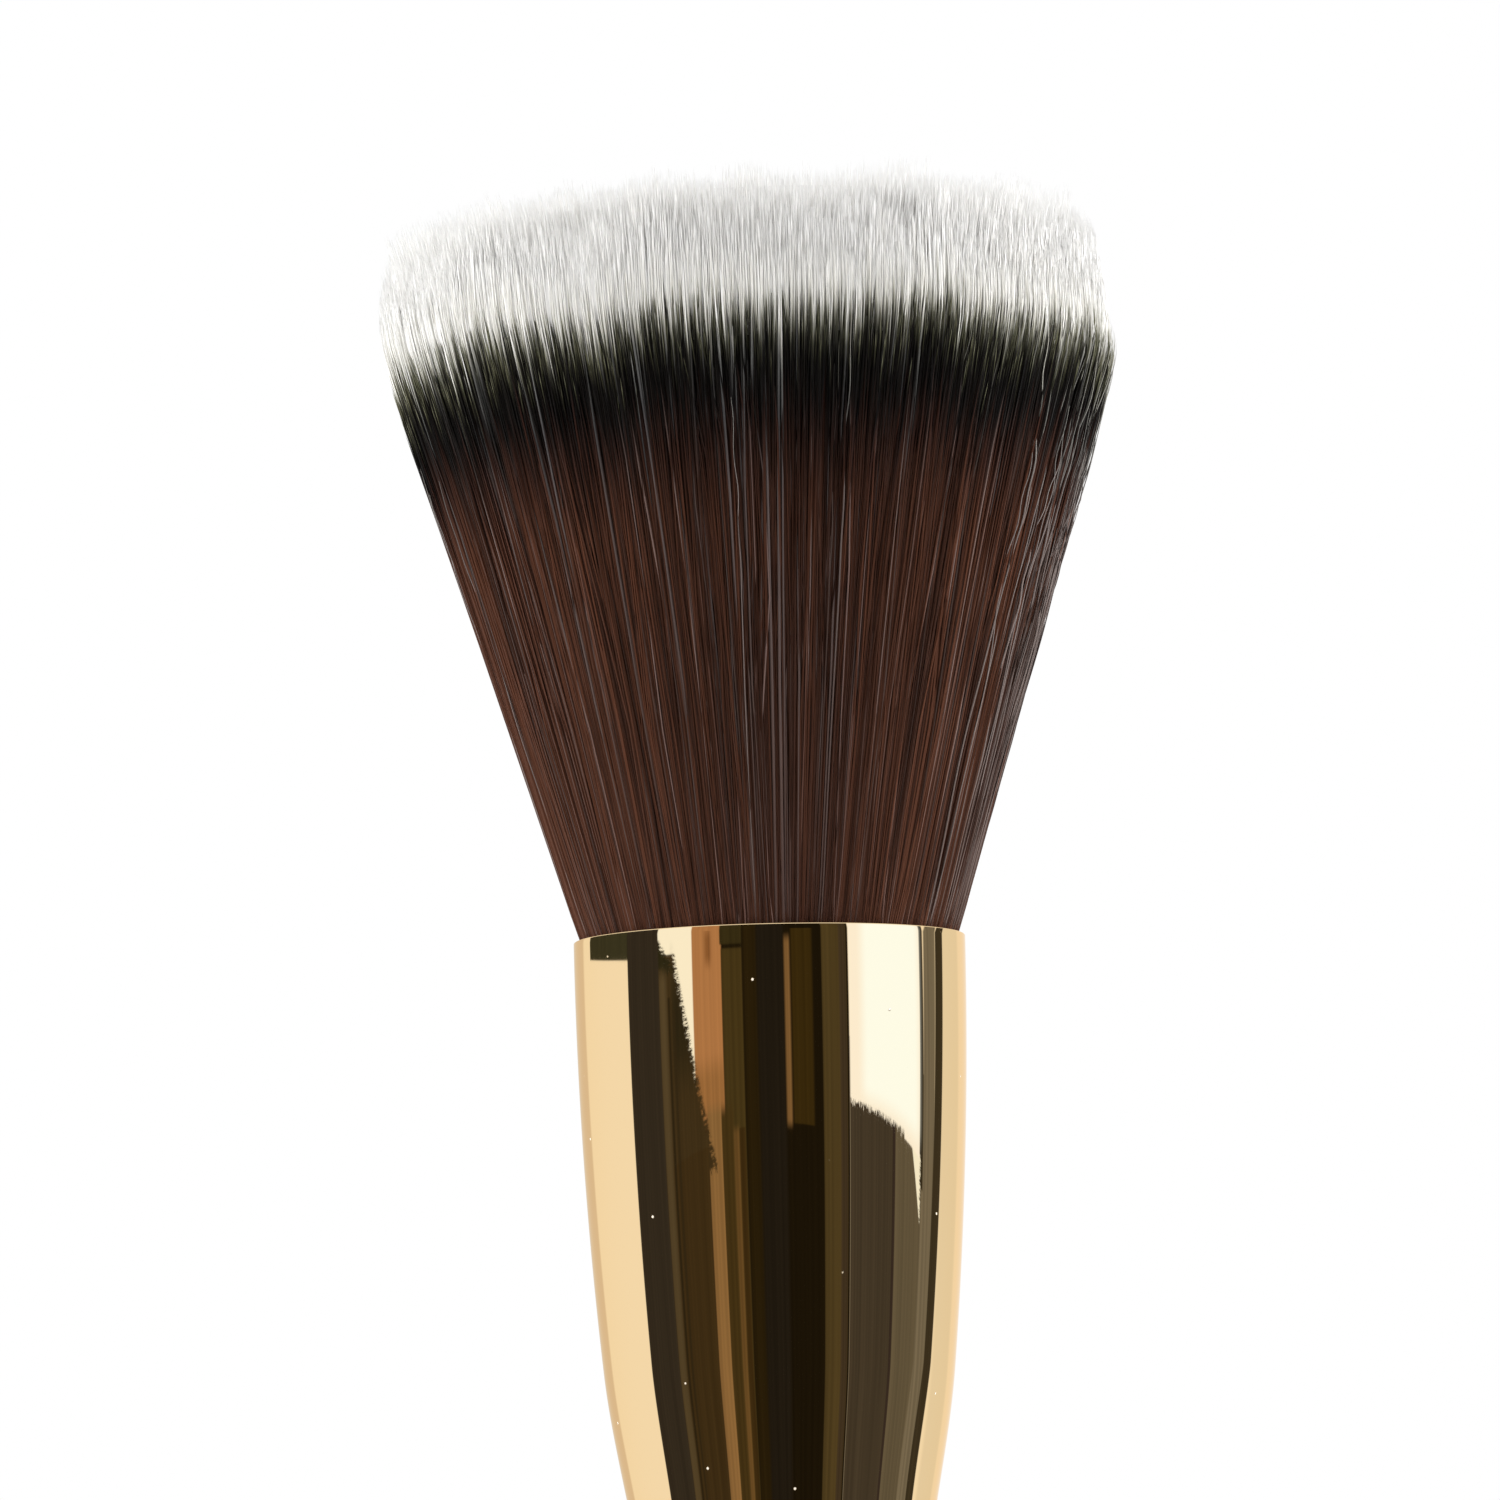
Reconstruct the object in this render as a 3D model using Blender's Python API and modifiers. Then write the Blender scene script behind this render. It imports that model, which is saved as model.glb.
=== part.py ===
"""Stippling brush with a head of two kinds of fibre.

Metres, +Z along the brush towards the tips, origin at the centre of the handle's flat butt.
Depths are measured down from the ferrule's mouth, heights up from the butt.
"""

import math

import bmesh
import bpy

# Handle: turned wood, from the flat butt up to the shoulder that the ferrule stands on
HANDLE_LENGTH = 0.1000
BUTT_FLAT_RADIUS = 0.0025
BUTT_ROUND_HEIGHT = 0.0045
TAIL_RADIUS = 0.0038
BELLY_RADIUS = 0.0076
BELLY_HEIGHT = 0.0860
SHOULDER_RADIUS = 0.0072
SHOULDER_CHAMFER = 0.0005
TENON_CHAMFER = 0.0006

# Ferrule: spun tube with a wide mouth, a bell, a neck and a straight crimped collar
FERRULE_LENGTH = 0.0420
FERRULE_WALL = 0.00040
MOUTH_RADIUS = 0.0100
BELL_DEPTH = 0.0220
BELL_RADIUS = 0.00893
NECK_DEPTH = 0.0360
COLLAR_RADIUS = 0.0070
GROOVE_COUNT = 2
GROOVE_WIDTH = 0.0012
GROOVE_DEPTH = 0.00035
GROOVE_PITCH = 0.0020
GROOVE_MARGIN = 0.0019

# Depths of the pieces that are stacked inside the ferrule
DARK_ROOT_DEPTH = 0.0010
DARK_ROOT_THICKNESS = 0.0050
WHITE_ROOT_THICKNESS = 0.0112
TIE_DEPTH = 0.0100
TIE_GROOVE_DEPTH = 0.0009
ROOT_FOOT_LENGTH = 0.0040
RESIN_RIM_THICKNESS = 0.0016
RESIN_FLOOR_THICKNESS = 0.0028
GLUE_THICKNESS = 0.0026

# Tie: cotton thread wound round the roots
THREAD_RADIUS = 0.00025
THREAD_TURNS = 3
THREAD_PITCH = 0.00080
THREAD_POINTS_PER_TURN = 24

# Fibre head: locks of fibre in rings, each ring with six more than the one inside it
RING_PITCH = 0.00088
LOCKS_PER_RING_STEP = 6
WHITE_EVERY = 3
LOCK_GAP = 0.00022
LOCK_SIDES = 3
FLARE_ANGLE = math.radians(18.2)
WHITE_EDGE_HEIGHT = 0.0285
WHITE_CROWN_RISE = 0.0100
DARK_EDGE_HEIGHT = 0.0270
DARK_CROWN_RISE = 0.0035
CROWN_POWER = 2.4
WHITE_TAPER_START = 0.62
DARK_TAPER_START = 0.82
TIP_SCATTER = 0.0012
ROOT_SINK = 0.0004
HOLE_GAP_SHARE = 0.4

# Clearances between pieces
FIT_GAP = 0.0003

# Facets
TURNED_STEPS = 48
INNER_STEPS = 32
CURVE_STATIONS = 5
GROOVE_STATIONS = 2
RIM_STATIONS = 2
SMOOTH_ANGLE = math.radians(35)
MERGE = 0.00001

# Sizes, heights and depths that follow
LOCK_RADIUS = (RING_PITCH - LOCK_GAP) / 2 / math.sin(math.tau / LOCK_SIDES)
HOLE_RADIUS = LOCK_RADIUS + LOCK_GAP * HOLE_GAP_SHARE / math.cos(math.pi / LOCK_SIDES)
FERRULE_BASE = HANDLE_LENGTH + FIT_GAP
MOUTH_HEIGHT = FERRULE_BASE + FERRULE_LENGTH
DARK_ROOT_END = DARK_ROOT_DEPTH + DARK_ROOT_THICKNESS
WHITE_ROOT_DEPTH = DARK_ROOT_END + FIT_GAP
WHITE_ROOT_END = WHITE_ROOT_DEPTH + WHITE_ROOT_THICKNESS
FOOT_DEPTH = WHITE_ROOT_END - ROOT_FOOT_LENGTH
RESIN_DEPTH = FOOT_DEPTH + FIT_GAP
RESIN_FLOOR_DEPTH = WHITE_ROOT_END + FIT_GAP
RESIN_END = RESIN_FLOOR_DEPTH + RESIN_FLOOR_THICKNESS
GLUE_DEPTH = RESIN_END + FIT_GAP
GLUE_END = GLUE_DEPTH + GLUE_THICKNESS
TENON_DEPTH = GLUE_END + FIT_GAP


def clear_scene():
    """Remove every object that the file starts with."""
    for item in list(bpy.data.objects):
        bpy.data.objects.remove(item, do_unlink=True)


def make_collection(name):
    """New collection under the scene's own."""
    collection = bpy.data.collections.new(name)
    bpy.context.scene.collection.children.link(collection)
    return collection


def make_material(name, colour, roughness, metallic=0.0):
    """Principled material with one colour, in linear values."""
    material = bpy.data.materials.new(name)
    material.use_nodes = True
    shader = material.node_tree.nodes["Principled BSDF"]
    shader.inputs["Base Color"].default_value = (*colour, 1.0)
    shader.inputs["Roughness"].default_value = roughness
    shader.inputs["Metallic"].default_value = metallic
    return material


def spread(start, end, count):
    """Evenly spaced values from start to end, both included."""
    return [start + (end - start) * step / (count - 1) for step in range(count)]


def ease(start, end, share):
    """Value on a cosine S-curve that leaves start and reaches end level."""
    return start + (end - start) * (1 - math.cos(math.pi * share)) / 2


def groove_centres():
    """Depths of the crimp grooves' centres."""
    first = FERRULE_LENGTH - GROOVE_MARGIN
    return [first - GROOVE_PITCH * index for index in range(GROOVE_COUNT)]


def groove_cut(depth):
    """How far the crimp grooves draw the wall in at a depth: one squared cosine wave each."""
    cut = 0.0
    for centre in groove_centres():
        offset = abs(depth - centre)
        if offset < GROOVE_WIDTH / 2:
            cut = max(cut, GROOVE_DEPTH * math.cos(math.pi * offset / GROOVE_WIDTH) ** 2)
    return cut


def ferrule_radius(depth):
    """Outer radius of the ferrule: a parabola down the bell, a cubic down the neck, then the collar."""
    if depth <= BELL_DEPTH:
        return MOUTH_RADIUS - (MOUTH_RADIUS - BELL_RADIUS) * (depth / BELL_DEPTH) ** 2
    if depth >= NECK_DEPTH:
        return COLLAR_RADIUS - groove_cut(depth)
    length = NECK_DEPTH - BELL_DEPTH
    share = (depth - BELL_DEPTH) / length
    slope = -2 * (MOUTH_RADIUS - BELL_RADIUS) / BELL_DEPTH * length
    start_weight = 2 * share ** 3 - 3 * share ** 2 + 1
    slope_weight = share ** 3 - 2 * share ** 2 + share
    return start_weight * BELL_RADIUS + slope_weight * slope + (1 - start_weight) * COLLAR_RADIUS


def bore_radius(depth):
    """Inner radius of the ferrule."""
    return ferrule_radius(depth) - FERRULE_WALL


def lining_radius(depth):
    """Radius of what fits inside the ferrule, one clearance off its wall."""
    return bore_radius(depth) - FIT_GAP


def tenon_radius(depth):
    """Radius of the tenon: as wide as the collar lets through, with the crimp grooves pressed in."""
    return min(lining_radius(depth), COLLAR_RADIUS - FERRULE_WALL - FIT_GAP)


def collar_depths():
    """Depths that outline the collar, closer together across each groove."""
    depths = [NECK_DEPTH]
    for centre in reversed(groove_centres()):
        depths += spread(centre - GROOVE_WIDTH / 2, centre + GROOVE_WIDTH / 2, GROOVE_STATIONS * 2 + 1)
    return depths


def ferrule_depths():
    """Depths that outline the whole ferrule wall between its two rounded edges."""
    round_over = FERRULE_WALL / 2
    bell = spread(round_over, BELL_DEPTH, CURVE_STATIONS)
    neck = spread(BELL_DEPTH, NECK_DEPTH, CURVE_STATIONS + 1)[1:-1]
    return bell + neck + collar_depths() + [FERRULE_LENGTH - round_over]


def edge_round(depth, facing):
    """Half circle over the wall's edge, from the outer to the inner side; facing is -1 up or 1 down."""
    centre = ferrule_radius(depth) - FERRULE_WALL / 2
    points = []
    for step in range(1, RIM_STATIONS + 1):
        angle = math.pi * step / (RIM_STATIONS + 1)
        radius = centre + FERRULE_WALL / 2 * math.cos(angle)
        points.append((radius, depth + facing * FERRULE_WALL / 2 * math.sin(angle)))
    return points


def turn(name, profile, material, collection, steps=TURNED_STEPS, closed=False):
    """Turned piece from (radius, height) points that run down its outer side."""
    vertices = [(radius, 0.0, height) for radius, height in profile]
    edges = [(index, index + 1) for index in range(len(vertices) - 1)]
    if closed:
        edges.append((len(vertices) - 1, 0))
    mesh = bpy.data.meshes.new(name)
    mesh.from_pydata(vertices, edges, [])
    piece = bpy.data.objects.new(name, mesh)
    collection.objects.link(piece)
    mesh.materials.append(material)
    screw = piece.modifiers.new("turn", "SCREW")
    screw.steps = steps
    screw.render_steps = steps
    screw.use_merge_vertices = True
    screw.merge_threshold = MERGE
    screw.use_smooth_shade = True
    return piece


def flatten_caps(piece):
    """Join the wedges of each flat cap into one face, so that what is cut or joined there stays simple."""
    dissolve = piece.modifiers.new("flat caps", "DECIMATE")
    dissolve.decimate_type = "DISSOLVE"
    dissolve.angle_limit = math.radians(0.05)


def combine(piece, tool, operation):
    """Cut a piece by a tool or join the tool to it."""
    boolean = piece.modifiers.new(operation.lower(), "BOOLEAN")
    boolean.operation = operation
    boolean.solver = "EXACT"
    boolean.object = tool


def bake(piece):
    """Put the modifiers' result into the piece's mesh and shade it smooth up to the sharp edges."""
    bpy.context.view_layer.update()
    evaluated = piece.evaluated_get(bpy.context.evaluated_depsgraph_get())
    mesh = bpy.data.meshes.new_from_object(evaluated)
    mesh.name = piece.name
    piece.modifiers.clear()
    piece.data = mesh
    mesh.shade_smooth()
    mesh.set_sharp_from_angle(angle=SMOOTH_ANGLE)


def make_ferrule(collection):
    """Spun tube, open at both ends, with rounded edges and two crimp grooves."""
    gold = make_material("gold_plate", (0.91, 0.62, 0.30), 0.12, 1.0)
    depths = ferrule_depths()
    outer = [(ferrule_radius(depth), depth) for depth in depths]
    inner = [(bore_radius(depth), depth) for depth in reversed(depths)]
    wall = outer + edge_round(depths[-1], 1) + inner
    wall += reversed(edge_round(depths[0], -1))
    profile = [(radius, MOUTH_HEIGHT - depth) for radius, depth in wall]
    ferrule = turn("ferrule", profile, gold, collection, closed=True)
    bake(ferrule)


def handle_side():
    """Radius and height of the handle below its shoulder, from the shoulder down to the butt."""
    chamfer_height = HANDLE_LENGTH - SHOULDER_CHAMFER
    points = []
    for height in spread(chamfer_height, BELLY_HEIGHT, CURVE_STATIONS):
        share = (chamfer_height - height) / (chamfer_height - BELLY_HEIGHT)
        points.append((ease(SHOULDER_RADIUS, BELLY_RADIUS, share), height))
    for height in spread(BELLY_HEIGHT, BUTT_ROUND_HEIGHT, CURVE_STATIONS * 2)[1:]:
        share = (BELLY_HEIGHT - height) / (BELLY_HEIGHT - BUTT_ROUND_HEIGHT)
        points.append((ease(BELLY_RADIUS, TAIL_RADIUS, share), height))
    for angle in spread(0.0, math.pi / 2, CURVE_STATIONS)[1:]:
        radius = BUTT_FLAT_RADIUS + (TAIL_RADIUS - BUTT_FLAT_RADIUS) * math.cos(angle)
        points.append((radius, BUTT_ROUND_HEIGHT * (1 - math.sin(angle))))
    return points


def make_handle(collection):
    """Turned handle with its tenon, a shoulder under the ferrule, a belly and a small flat butt."""
    lacquer = make_material("black_lacquer", (0.006, 0.006, 0.007), 0.08)
    depths = [TENON_DEPTH + TENON_CHAMFER] + collar_depths() + [FERRULE_LENGTH + FIT_GAP]
    profile = [(0.0, MOUTH_HEIGHT - TENON_DEPTH)]
    profile.append((tenon_radius(TENON_DEPTH) - TENON_CHAMFER, MOUTH_HEIGHT - TENON_DEPTH))
    profile += [(tenon_radius(depth), MOUTH_HEIGHT - depth) for depth in depths]
    profile.append((SHOULDER_RADIUS - SHOULDER_CHAMFER, HANDLE_LENGTH))
    profile += handle_side()
    profile.append((0.0, 0.0))
    handle = turn("handle", profile, lacquer, collection)
    flatten_caps(handle)
    bake(handle)


def lining_profile(start, end, count):
    """Outline down the ferrule's wall between two depths."""
    return [(lining_radius(depth), MOUTH_HEIGHT - depth) for depth in spread(start, end, count)]


def lock_radius_limit():
    """Radius within which the locks' centres fit at the top of the roots."""
    return lining_radius(DARK_ROOT_DEPTH) - LOCK_RADIUS


def lock_seats():
    """Every lock's ring radius, angle and kind: ring k holds 6k locks, turned by the golden angle.

    Every third lock round a ring is white, and the one in the centre is dark.
    """
    golden = math.pi * (3 - math.sqrt(5))
    seats = [(0.0, 0.0, False)]
    for ring in range(1, int(lock_radius_limit() / RING_PITCH) + 1):
        count = LOCKS_PER_RING_STEP * ring
        for index in range(count):
            angle = golden * ring + math.tau * index / count
            seats.append((RING_PITCH * ring, angle, index % WHITE_EVERY == 0))
    return seats


def outer_ring_radius():
    """Radius of the outermost ring of locks."""
    return RING_PITCH * int(lock_radius_limit() / RING_PITCH)


def spread_factor(height):
    """How much wider than at the roots the head is at a height above the top of the roots."""
    return 1 + max(height, 0.0) * math.tan(FLARE_ANGLE) / outer_ring_radius()


def tip_height(ring_radius, index, edge_height, crown_rise):
    """Height of a lock's tip above the mouth: a dome, with a scatter that never repeats."""
    share = ring_radius / outer_ring_radius()
    dome = edge_height + crown_rise * math.sqrt(1 - share ** CROWN_POWER)
    scatter = (index * (math.sqrt(5) - 1) / 2) % 1.0 - 0.5
    return dome + TIP_SCATTER * scatter


def add_ring(shape, radius, angle, size, height):
    """Corners of one lock's section, with a corner pointing outwards."""
    corners = []
    for side in range(LOCK_SIDES):
        turned = angle + math.tau * side / LOCK_SIDES
        x = radius * math.cos(angle) + size * math.cos(turned)
        y = radius * math.sin(angle) + size * math.sin(turned)
        corners.append(shape.verts.new((x, y, height)))
    return corners


def join_rings(shape, lower, upper):
    """Side faces between two sections."""
    for side in range(LOCK_SIDES):
        following = (side + 1) % LOCK_SIDES
        shape.faces.new((lower[side], lower[following], upper[following], upper[side]))


def add_lock(shape, seat, section_heights, tip):
    """One lock, with a section at each height above the roots' top and a pointed tip.

    Place and size grow by the same factor, so that no two locks ever meet.
    """
    radius, angle, _ = seat
    roots_top = MOUTH_HEIGHT - DARK_ROOT_DEPTH
    rings = []
    for height in section_heights:
        factor = spread_factor(height)
        rings.append(add_ring(shape, radius * factor, angle, LOCK_RADIUS * factor, roots_top + height))
    shape.faces.new(reversed(rings[0]))
    for lower, upper in zip(rings, rings[1:]):
        join_rings(shape, lower, upper)
    place = radius * spread_factor(tip)
    point = shape.verts.new((place * math.cos(angle), place * math.sin(angle), roots_top + tip))
    for side in range(LOCK_SIDES):
        shape.faces.new((rings[-1][side], rings[-1][(side + 1) % LOCK_SIDES], point))


def make_tool(name, shape, collection):
    """Object for a Boolean tool, hidden from renders."""
    mesh = bpy.data.meshes.new(name)
    shape.to_mesh(mesh)
    shape.free()
    tool = bpy.data.objects.new(name, mesh)
    tool.hide_render = True
    tool.display_type = "WIRE"
    collection.objects.link(tool)
    return tool


def make_white_locks(collection):
    """Long locks: upright through the dark roots, then spread with the head up to their tips."""
    shape = bmesh.new()
    root = DARK_ROOT_DEPTH - WHITE_ROOT_DEPTH - ROOT_SINK
    for index, seat in enumerate(lock_seats()):
        if not seat[2]:
            continue
        tip = DARK_ROOT_DEPTH + tip_height(seat[0], index, WHITE_EDGE_HEIGHT, WHITE_CROWN_RISE)
        add_lock(shape, seat, [root, 0.0, tip * WHITE_TAPER_START], tip)
    return make_tool("white_locks", shape, collection)


def make_dark_locks(collection):
    """Short locks, spread with the head from the top of the roots to their tips."""
    shape = bmesh.new()
    for index, seat in enumerate(lock_seats()):
        if seat[2]:
            continue
        tip = DARK_ROOT_DEPTH + tip_height(seat[0], index, DARK_EDGE_HEIGHT, DARK_CROWN_RISE)
        add_lock(shape, seat, [-ROOT_SINK, tip * DARK_TAPER_START], tip)
    return make_tool("dark_locks", shape, collection)


def make_lock_holes(collection):
    """Upright holes through the dark roots that the white locks pass up."""
    shape = bmesh.new()
    for radius, angle, is_white in lock_seats():
        if not is_white:
            continue
        lower = add_ring(shape, radius, angle, HOLE_RADIUS, MOUTH_HEIGHT - WHITE_ROOT_DEPTH)
        upper = add_ring(shape, radius, angle, HOLE_RADIUS, MOUTH_HEIGHT)
        shape.faces.new(reversed(lower))
        join_rings(shape, lower, upper)
        shape.faces.new(upper)
    return make_tool("lock_holes", shape, collection)


def make_dark_fibres(collection, tools):
    """Dark locks on a slice of packed roots, which is pierced for the white locks."""
    brown = make_material("dark_fibre", (0.030, 0.014, 0.009), 0.45)
    sides = lining_profile(DARK_ROOT_DEPTH, DARK_ROOT_END, 3)
    profile = [(0.0, sides[0][1])] + sides + [(0.0, sides[-1][1])]
    fibres = turn("short_dark_fibres", profile, brown, collection)
    flatten_caps(fibres)
    holes = make_lock_holes(tools)
    locks = make_dark_locks(tools)
    combine(fibres, holes, "DIFFERENCE")
    combine(fibres, locks, "UNION")
    bake(fibres)
    bpy.data.objects.remove(holes, do_unlink=True)
    bpy.data.objects.remove(locks, do_unlink=True)


def tie_groove_depths():
    """Depths between which the roots are drawn in under the thread."""
    half = THREAD_PITCH * THREAD_TURNS / 2 + THREAD_RADIUS + FIT_GAP
    return TIE_DEPTH - half, TIE_DEPTH + half


def tie_groove_radius():
    """Radius of the roots under the thread."""
    return lining_radius(TIE_DEPTH) - TIE_GROOVE_DEPTH


def foot_radius():
    """Radius of the roots' lower end, inside the resin cup's rim."""
    return lining_radius(WHITE_ROOT_END) - RESIN_RIM_THICKNESS - FIT_GAP


def make_white_fibres(collection, tools):
    """White locks on a slice of packed roots with a neck for the tie and a foot in the resin."""
    white = make_material("white_fibre", (0.80, 0.79, 0.76), 0.35)
    upper, lower = tie_groove_depths()
    outline = [(lining_radius(WHITE_ROOT_DEPTH), WHITE_ROOT_DEPTH), (lining_radius(upper), upper)]
    outline += [(tie_groove_radius(), upper), (tie_groove_radius(), lower)]
    outline += [(lining_radius(lower), lower), (lining_radius(FOOT_DEPTH), FOOT_DEPTH)]
    outline += [(foot_radius(), FOOT_DEPTH), (foot_radius(), WHITE_ROOT_END)]
    profile = [(0.0, MOUTH_HEIGHT - WHITE_ROOT_DEPTH)]
    profile += [(radius, MOUTH_HEIGHT - depth) for radius, depth in outline]
    profile.append((0.0, MOUTH_HEIGHT - WHITE_ROOT_END))
    fibres = turn("long_white_fibres", profile, white, collection)
    flatten_caps(fibres)
    locks = make_white_locks(tools)
    combine(fibres, locks, "UNION")
    bake(fibres)
    bpy.data.objects.remove(locks, do_unlink=True)


def make_resin_cup(collection):
    """Epoxy under and round the foot of the roots."""
    resin = make_material("amber_resin", (0.35, 0.18, 0.05), 0.25)
    cup_radius = foot_radius() + FIT_GAP
    profile = [(0.0, MOUTH_HEIGHT - RESIN_FLOOR_DEPTH)]
    profile.append((cup_radius, MOUTH_HEIGHT - RESIN_FLOOR_DEPTH))
    profile.append((cup_radius, MOUTH_HEIGHT - RESIN_DEPTH))
    profile += lining_profile(RESIN_DEPTH, RESIN_END, 3)
    profile.append((0.0, MOUTH_HEIGHT - RESIN_END))
    cup = turn("resin_cup", profile, resin, collection, steps=INNER_STEPS)
    flatten_caps(cup)
    bake(cup)


def make_tenon_glue(collection):
    """Glue that fills the ferrule between the resin and the tenon's end."""
    glue = make_material("wood_glue", (0.55, 0.42, 0.22), 0.5)
    sides = lining_profile(GLUE_DEPTH, GLUE_END, 2)
    profile = [(0.0, sides[0][1])] + sides + [(0.0, sides[-1][1])]
    pad = turn("tenon_glue", profile, glue, collection, steps=INNER_STEPS)
    flatten_caps(pad)
    bake(pad)


def make_root_binding(collection):
    """Thread wound as a helix round the neck of the roots, one clearance off them."""
    cotton = make_material("cotton_thread", (0.75, 0.70, 0.60), 0.9)
    curve = bpy.data.curves.new("root_binding", "CURVE")
    curve.dimensions = "3D"
    curve.bevel_depth = THREAD_RADIUS
    curve.bevel_resolution = 1
    curve.use_fill_caps = True
    count = THREAD_TURNS * THREAD_POINTS_PER_TURN + 1
    radius = tie_groove_radius() + FIT_GAP + THREAD_RADIUS
    rise = THREAD_PITCH * THREAD_TURNS
    spline = curve.splines.new("POLY")
    spline.points.add(count - 1)
    for index, point in enumerate(spline.points):
        angle = math.tau * index / THREAD_POINTS_PER_TURN
        height = MOUTH_HEIGHT - TIE_DEPTH - rise / 2 + rise * index / (count - 1)
        point.co = (radius * math.cos(angle), radius * math.sin(angle), height, 1.0)
    binding = bpy.data.objects.new("root_binding", curve)
    collection.objects.link(binding)
    curve.materials.append(cotton)


def main():
    """Build the brush."""
    clear_scene()
    brush = make_collection("stippling_brush")
    tools = make_collection("tools")
    make_handle(brush)
    make_ferrule(brush)
    make_dark_fibres(brush, tools)
    make_white_fibres(brush, tools)
    make_resin_cup(brush)
    make_tenon_glue(brush)
    make_root_binding(brush)


main()
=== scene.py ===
"""Studio picture of a stippling brush: fine fibres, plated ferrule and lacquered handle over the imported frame.

Metres, +Z along the brush towards the tips, origin at the centre of the handle's butt.
Heights above the mouth are measured from the ferrule's upper edge.
"""

import logging
import math
from collections.abc import Callable, Sequence
from dataclasses import asdict, dataclass, field, fields
from enum import Enum

import bpy
import numpy as np
from mathutils import Matrix, Vector


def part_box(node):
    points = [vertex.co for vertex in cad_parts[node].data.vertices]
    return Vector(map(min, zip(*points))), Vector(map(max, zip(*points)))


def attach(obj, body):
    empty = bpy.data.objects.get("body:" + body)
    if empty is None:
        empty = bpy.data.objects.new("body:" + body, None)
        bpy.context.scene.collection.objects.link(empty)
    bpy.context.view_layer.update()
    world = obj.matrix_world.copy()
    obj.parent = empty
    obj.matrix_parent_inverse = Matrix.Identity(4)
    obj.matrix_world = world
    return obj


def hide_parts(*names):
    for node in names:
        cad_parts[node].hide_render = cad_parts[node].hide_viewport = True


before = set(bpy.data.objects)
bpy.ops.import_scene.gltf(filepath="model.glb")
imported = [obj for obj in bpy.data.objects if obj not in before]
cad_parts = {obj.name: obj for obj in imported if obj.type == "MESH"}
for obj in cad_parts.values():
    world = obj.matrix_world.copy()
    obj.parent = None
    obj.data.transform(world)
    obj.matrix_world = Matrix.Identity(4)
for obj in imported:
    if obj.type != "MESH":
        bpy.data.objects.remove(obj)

log = logging.getLogger("stippling_brush")

MM = 0.001
HEAD_GAP = 0.05 * MM
GOLDEN_ANGLE = math.pi * (3 - math.sqrt(5))
BAKE_MAP = "OFBake"
Colour = tuple[float, float, float]
Stretch = tuple[float, float, float]
WHITE_LIGHT: Colour = (1.0, 1.0, 1.0)


class FibreKind(Enum):
    """The two kinds of fibre that the head is mixed from."""

    DARK = "dark"
    WHITE = "white"


# Meshes


def make_mesh(name: str, points: np.ndarray, quads: np.ndarray, triangles: np.ndarray) -> bpy.types.Mesh:
    """Put arrays of points and faces into a smooth mesh.

    Args:
        name: the mesh's name.
        points: corner places, one row of three each.
        quads: corner numbers of the four-sided faces, one row each.
        triangles: corner numbers of the three-sided faces, one row each.

    Returns:
        The new mesh.
    """
    mesh = bpy.data.meshes.new(name)
    mesh.vertices.add(len(points))
    mesh.vertices.foreach_set("co", np.ascontiguousarray(points, np.float32).ravel())
    corners = np.concatenate([quads.ravel(), triangles.ravel()]).astype(np.int32)
    sizes = np.concatenate([np.full(len(quads), 4), np.full(len(triangles), 3)])
    starts = np.concatenate([[0], np.cumsum(sizes)[:-1]]).astype(np.int32)
    mesh.loops.add(len(corners))
    mesh.loops.foreach_set("vertex_index", corners)
    mesh.polygons.add(len(sizes))
    mesh.polygons.foreach_set("loop_start", starts)
    mesh.update(calc_edges=True)
    mesh.shade_smooth()
    return mesh


def set_bake_map(mesh: bpy.types.Mesh, places: np.ndarray) -> None:
    """Give a mesh its own UV map, one place for each point.

    Args:
        mesh: the mesh.
        places: UV of each point, one row of two each.
    """
    corners = np.zeros(len(mesh.loops), np.int32)
    mesh.loops.foreach_get("vertex_index", corners)
    layer = mesh.uv_layers.new(name=BAKE_MAP)
    layer.data.foreach_set("uv", np.ascontiguousarray(places[corners], np.float32).ravel())


def place_piece(name: str, mesh: bpy.types.Mesh, material: bpy.types.Material) -> bpy.types.Object:
    """Make a finished piece of a mesh and let it ride on the brush.

    Args:
        name: the piece's name.
        mesh: its mesh, with its place in it.
        material: its finish.

    Returns:
        The piece.
    """
    piece = bpy.data.objects.new(name, mesh)
    bpy.context.scene.collection.objects.link(piece)
    mesh.materials.append(material)
    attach(piece, "root")
    log.info("%s: %d faces", name, len(mesh.polygons))
    return piece


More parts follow.
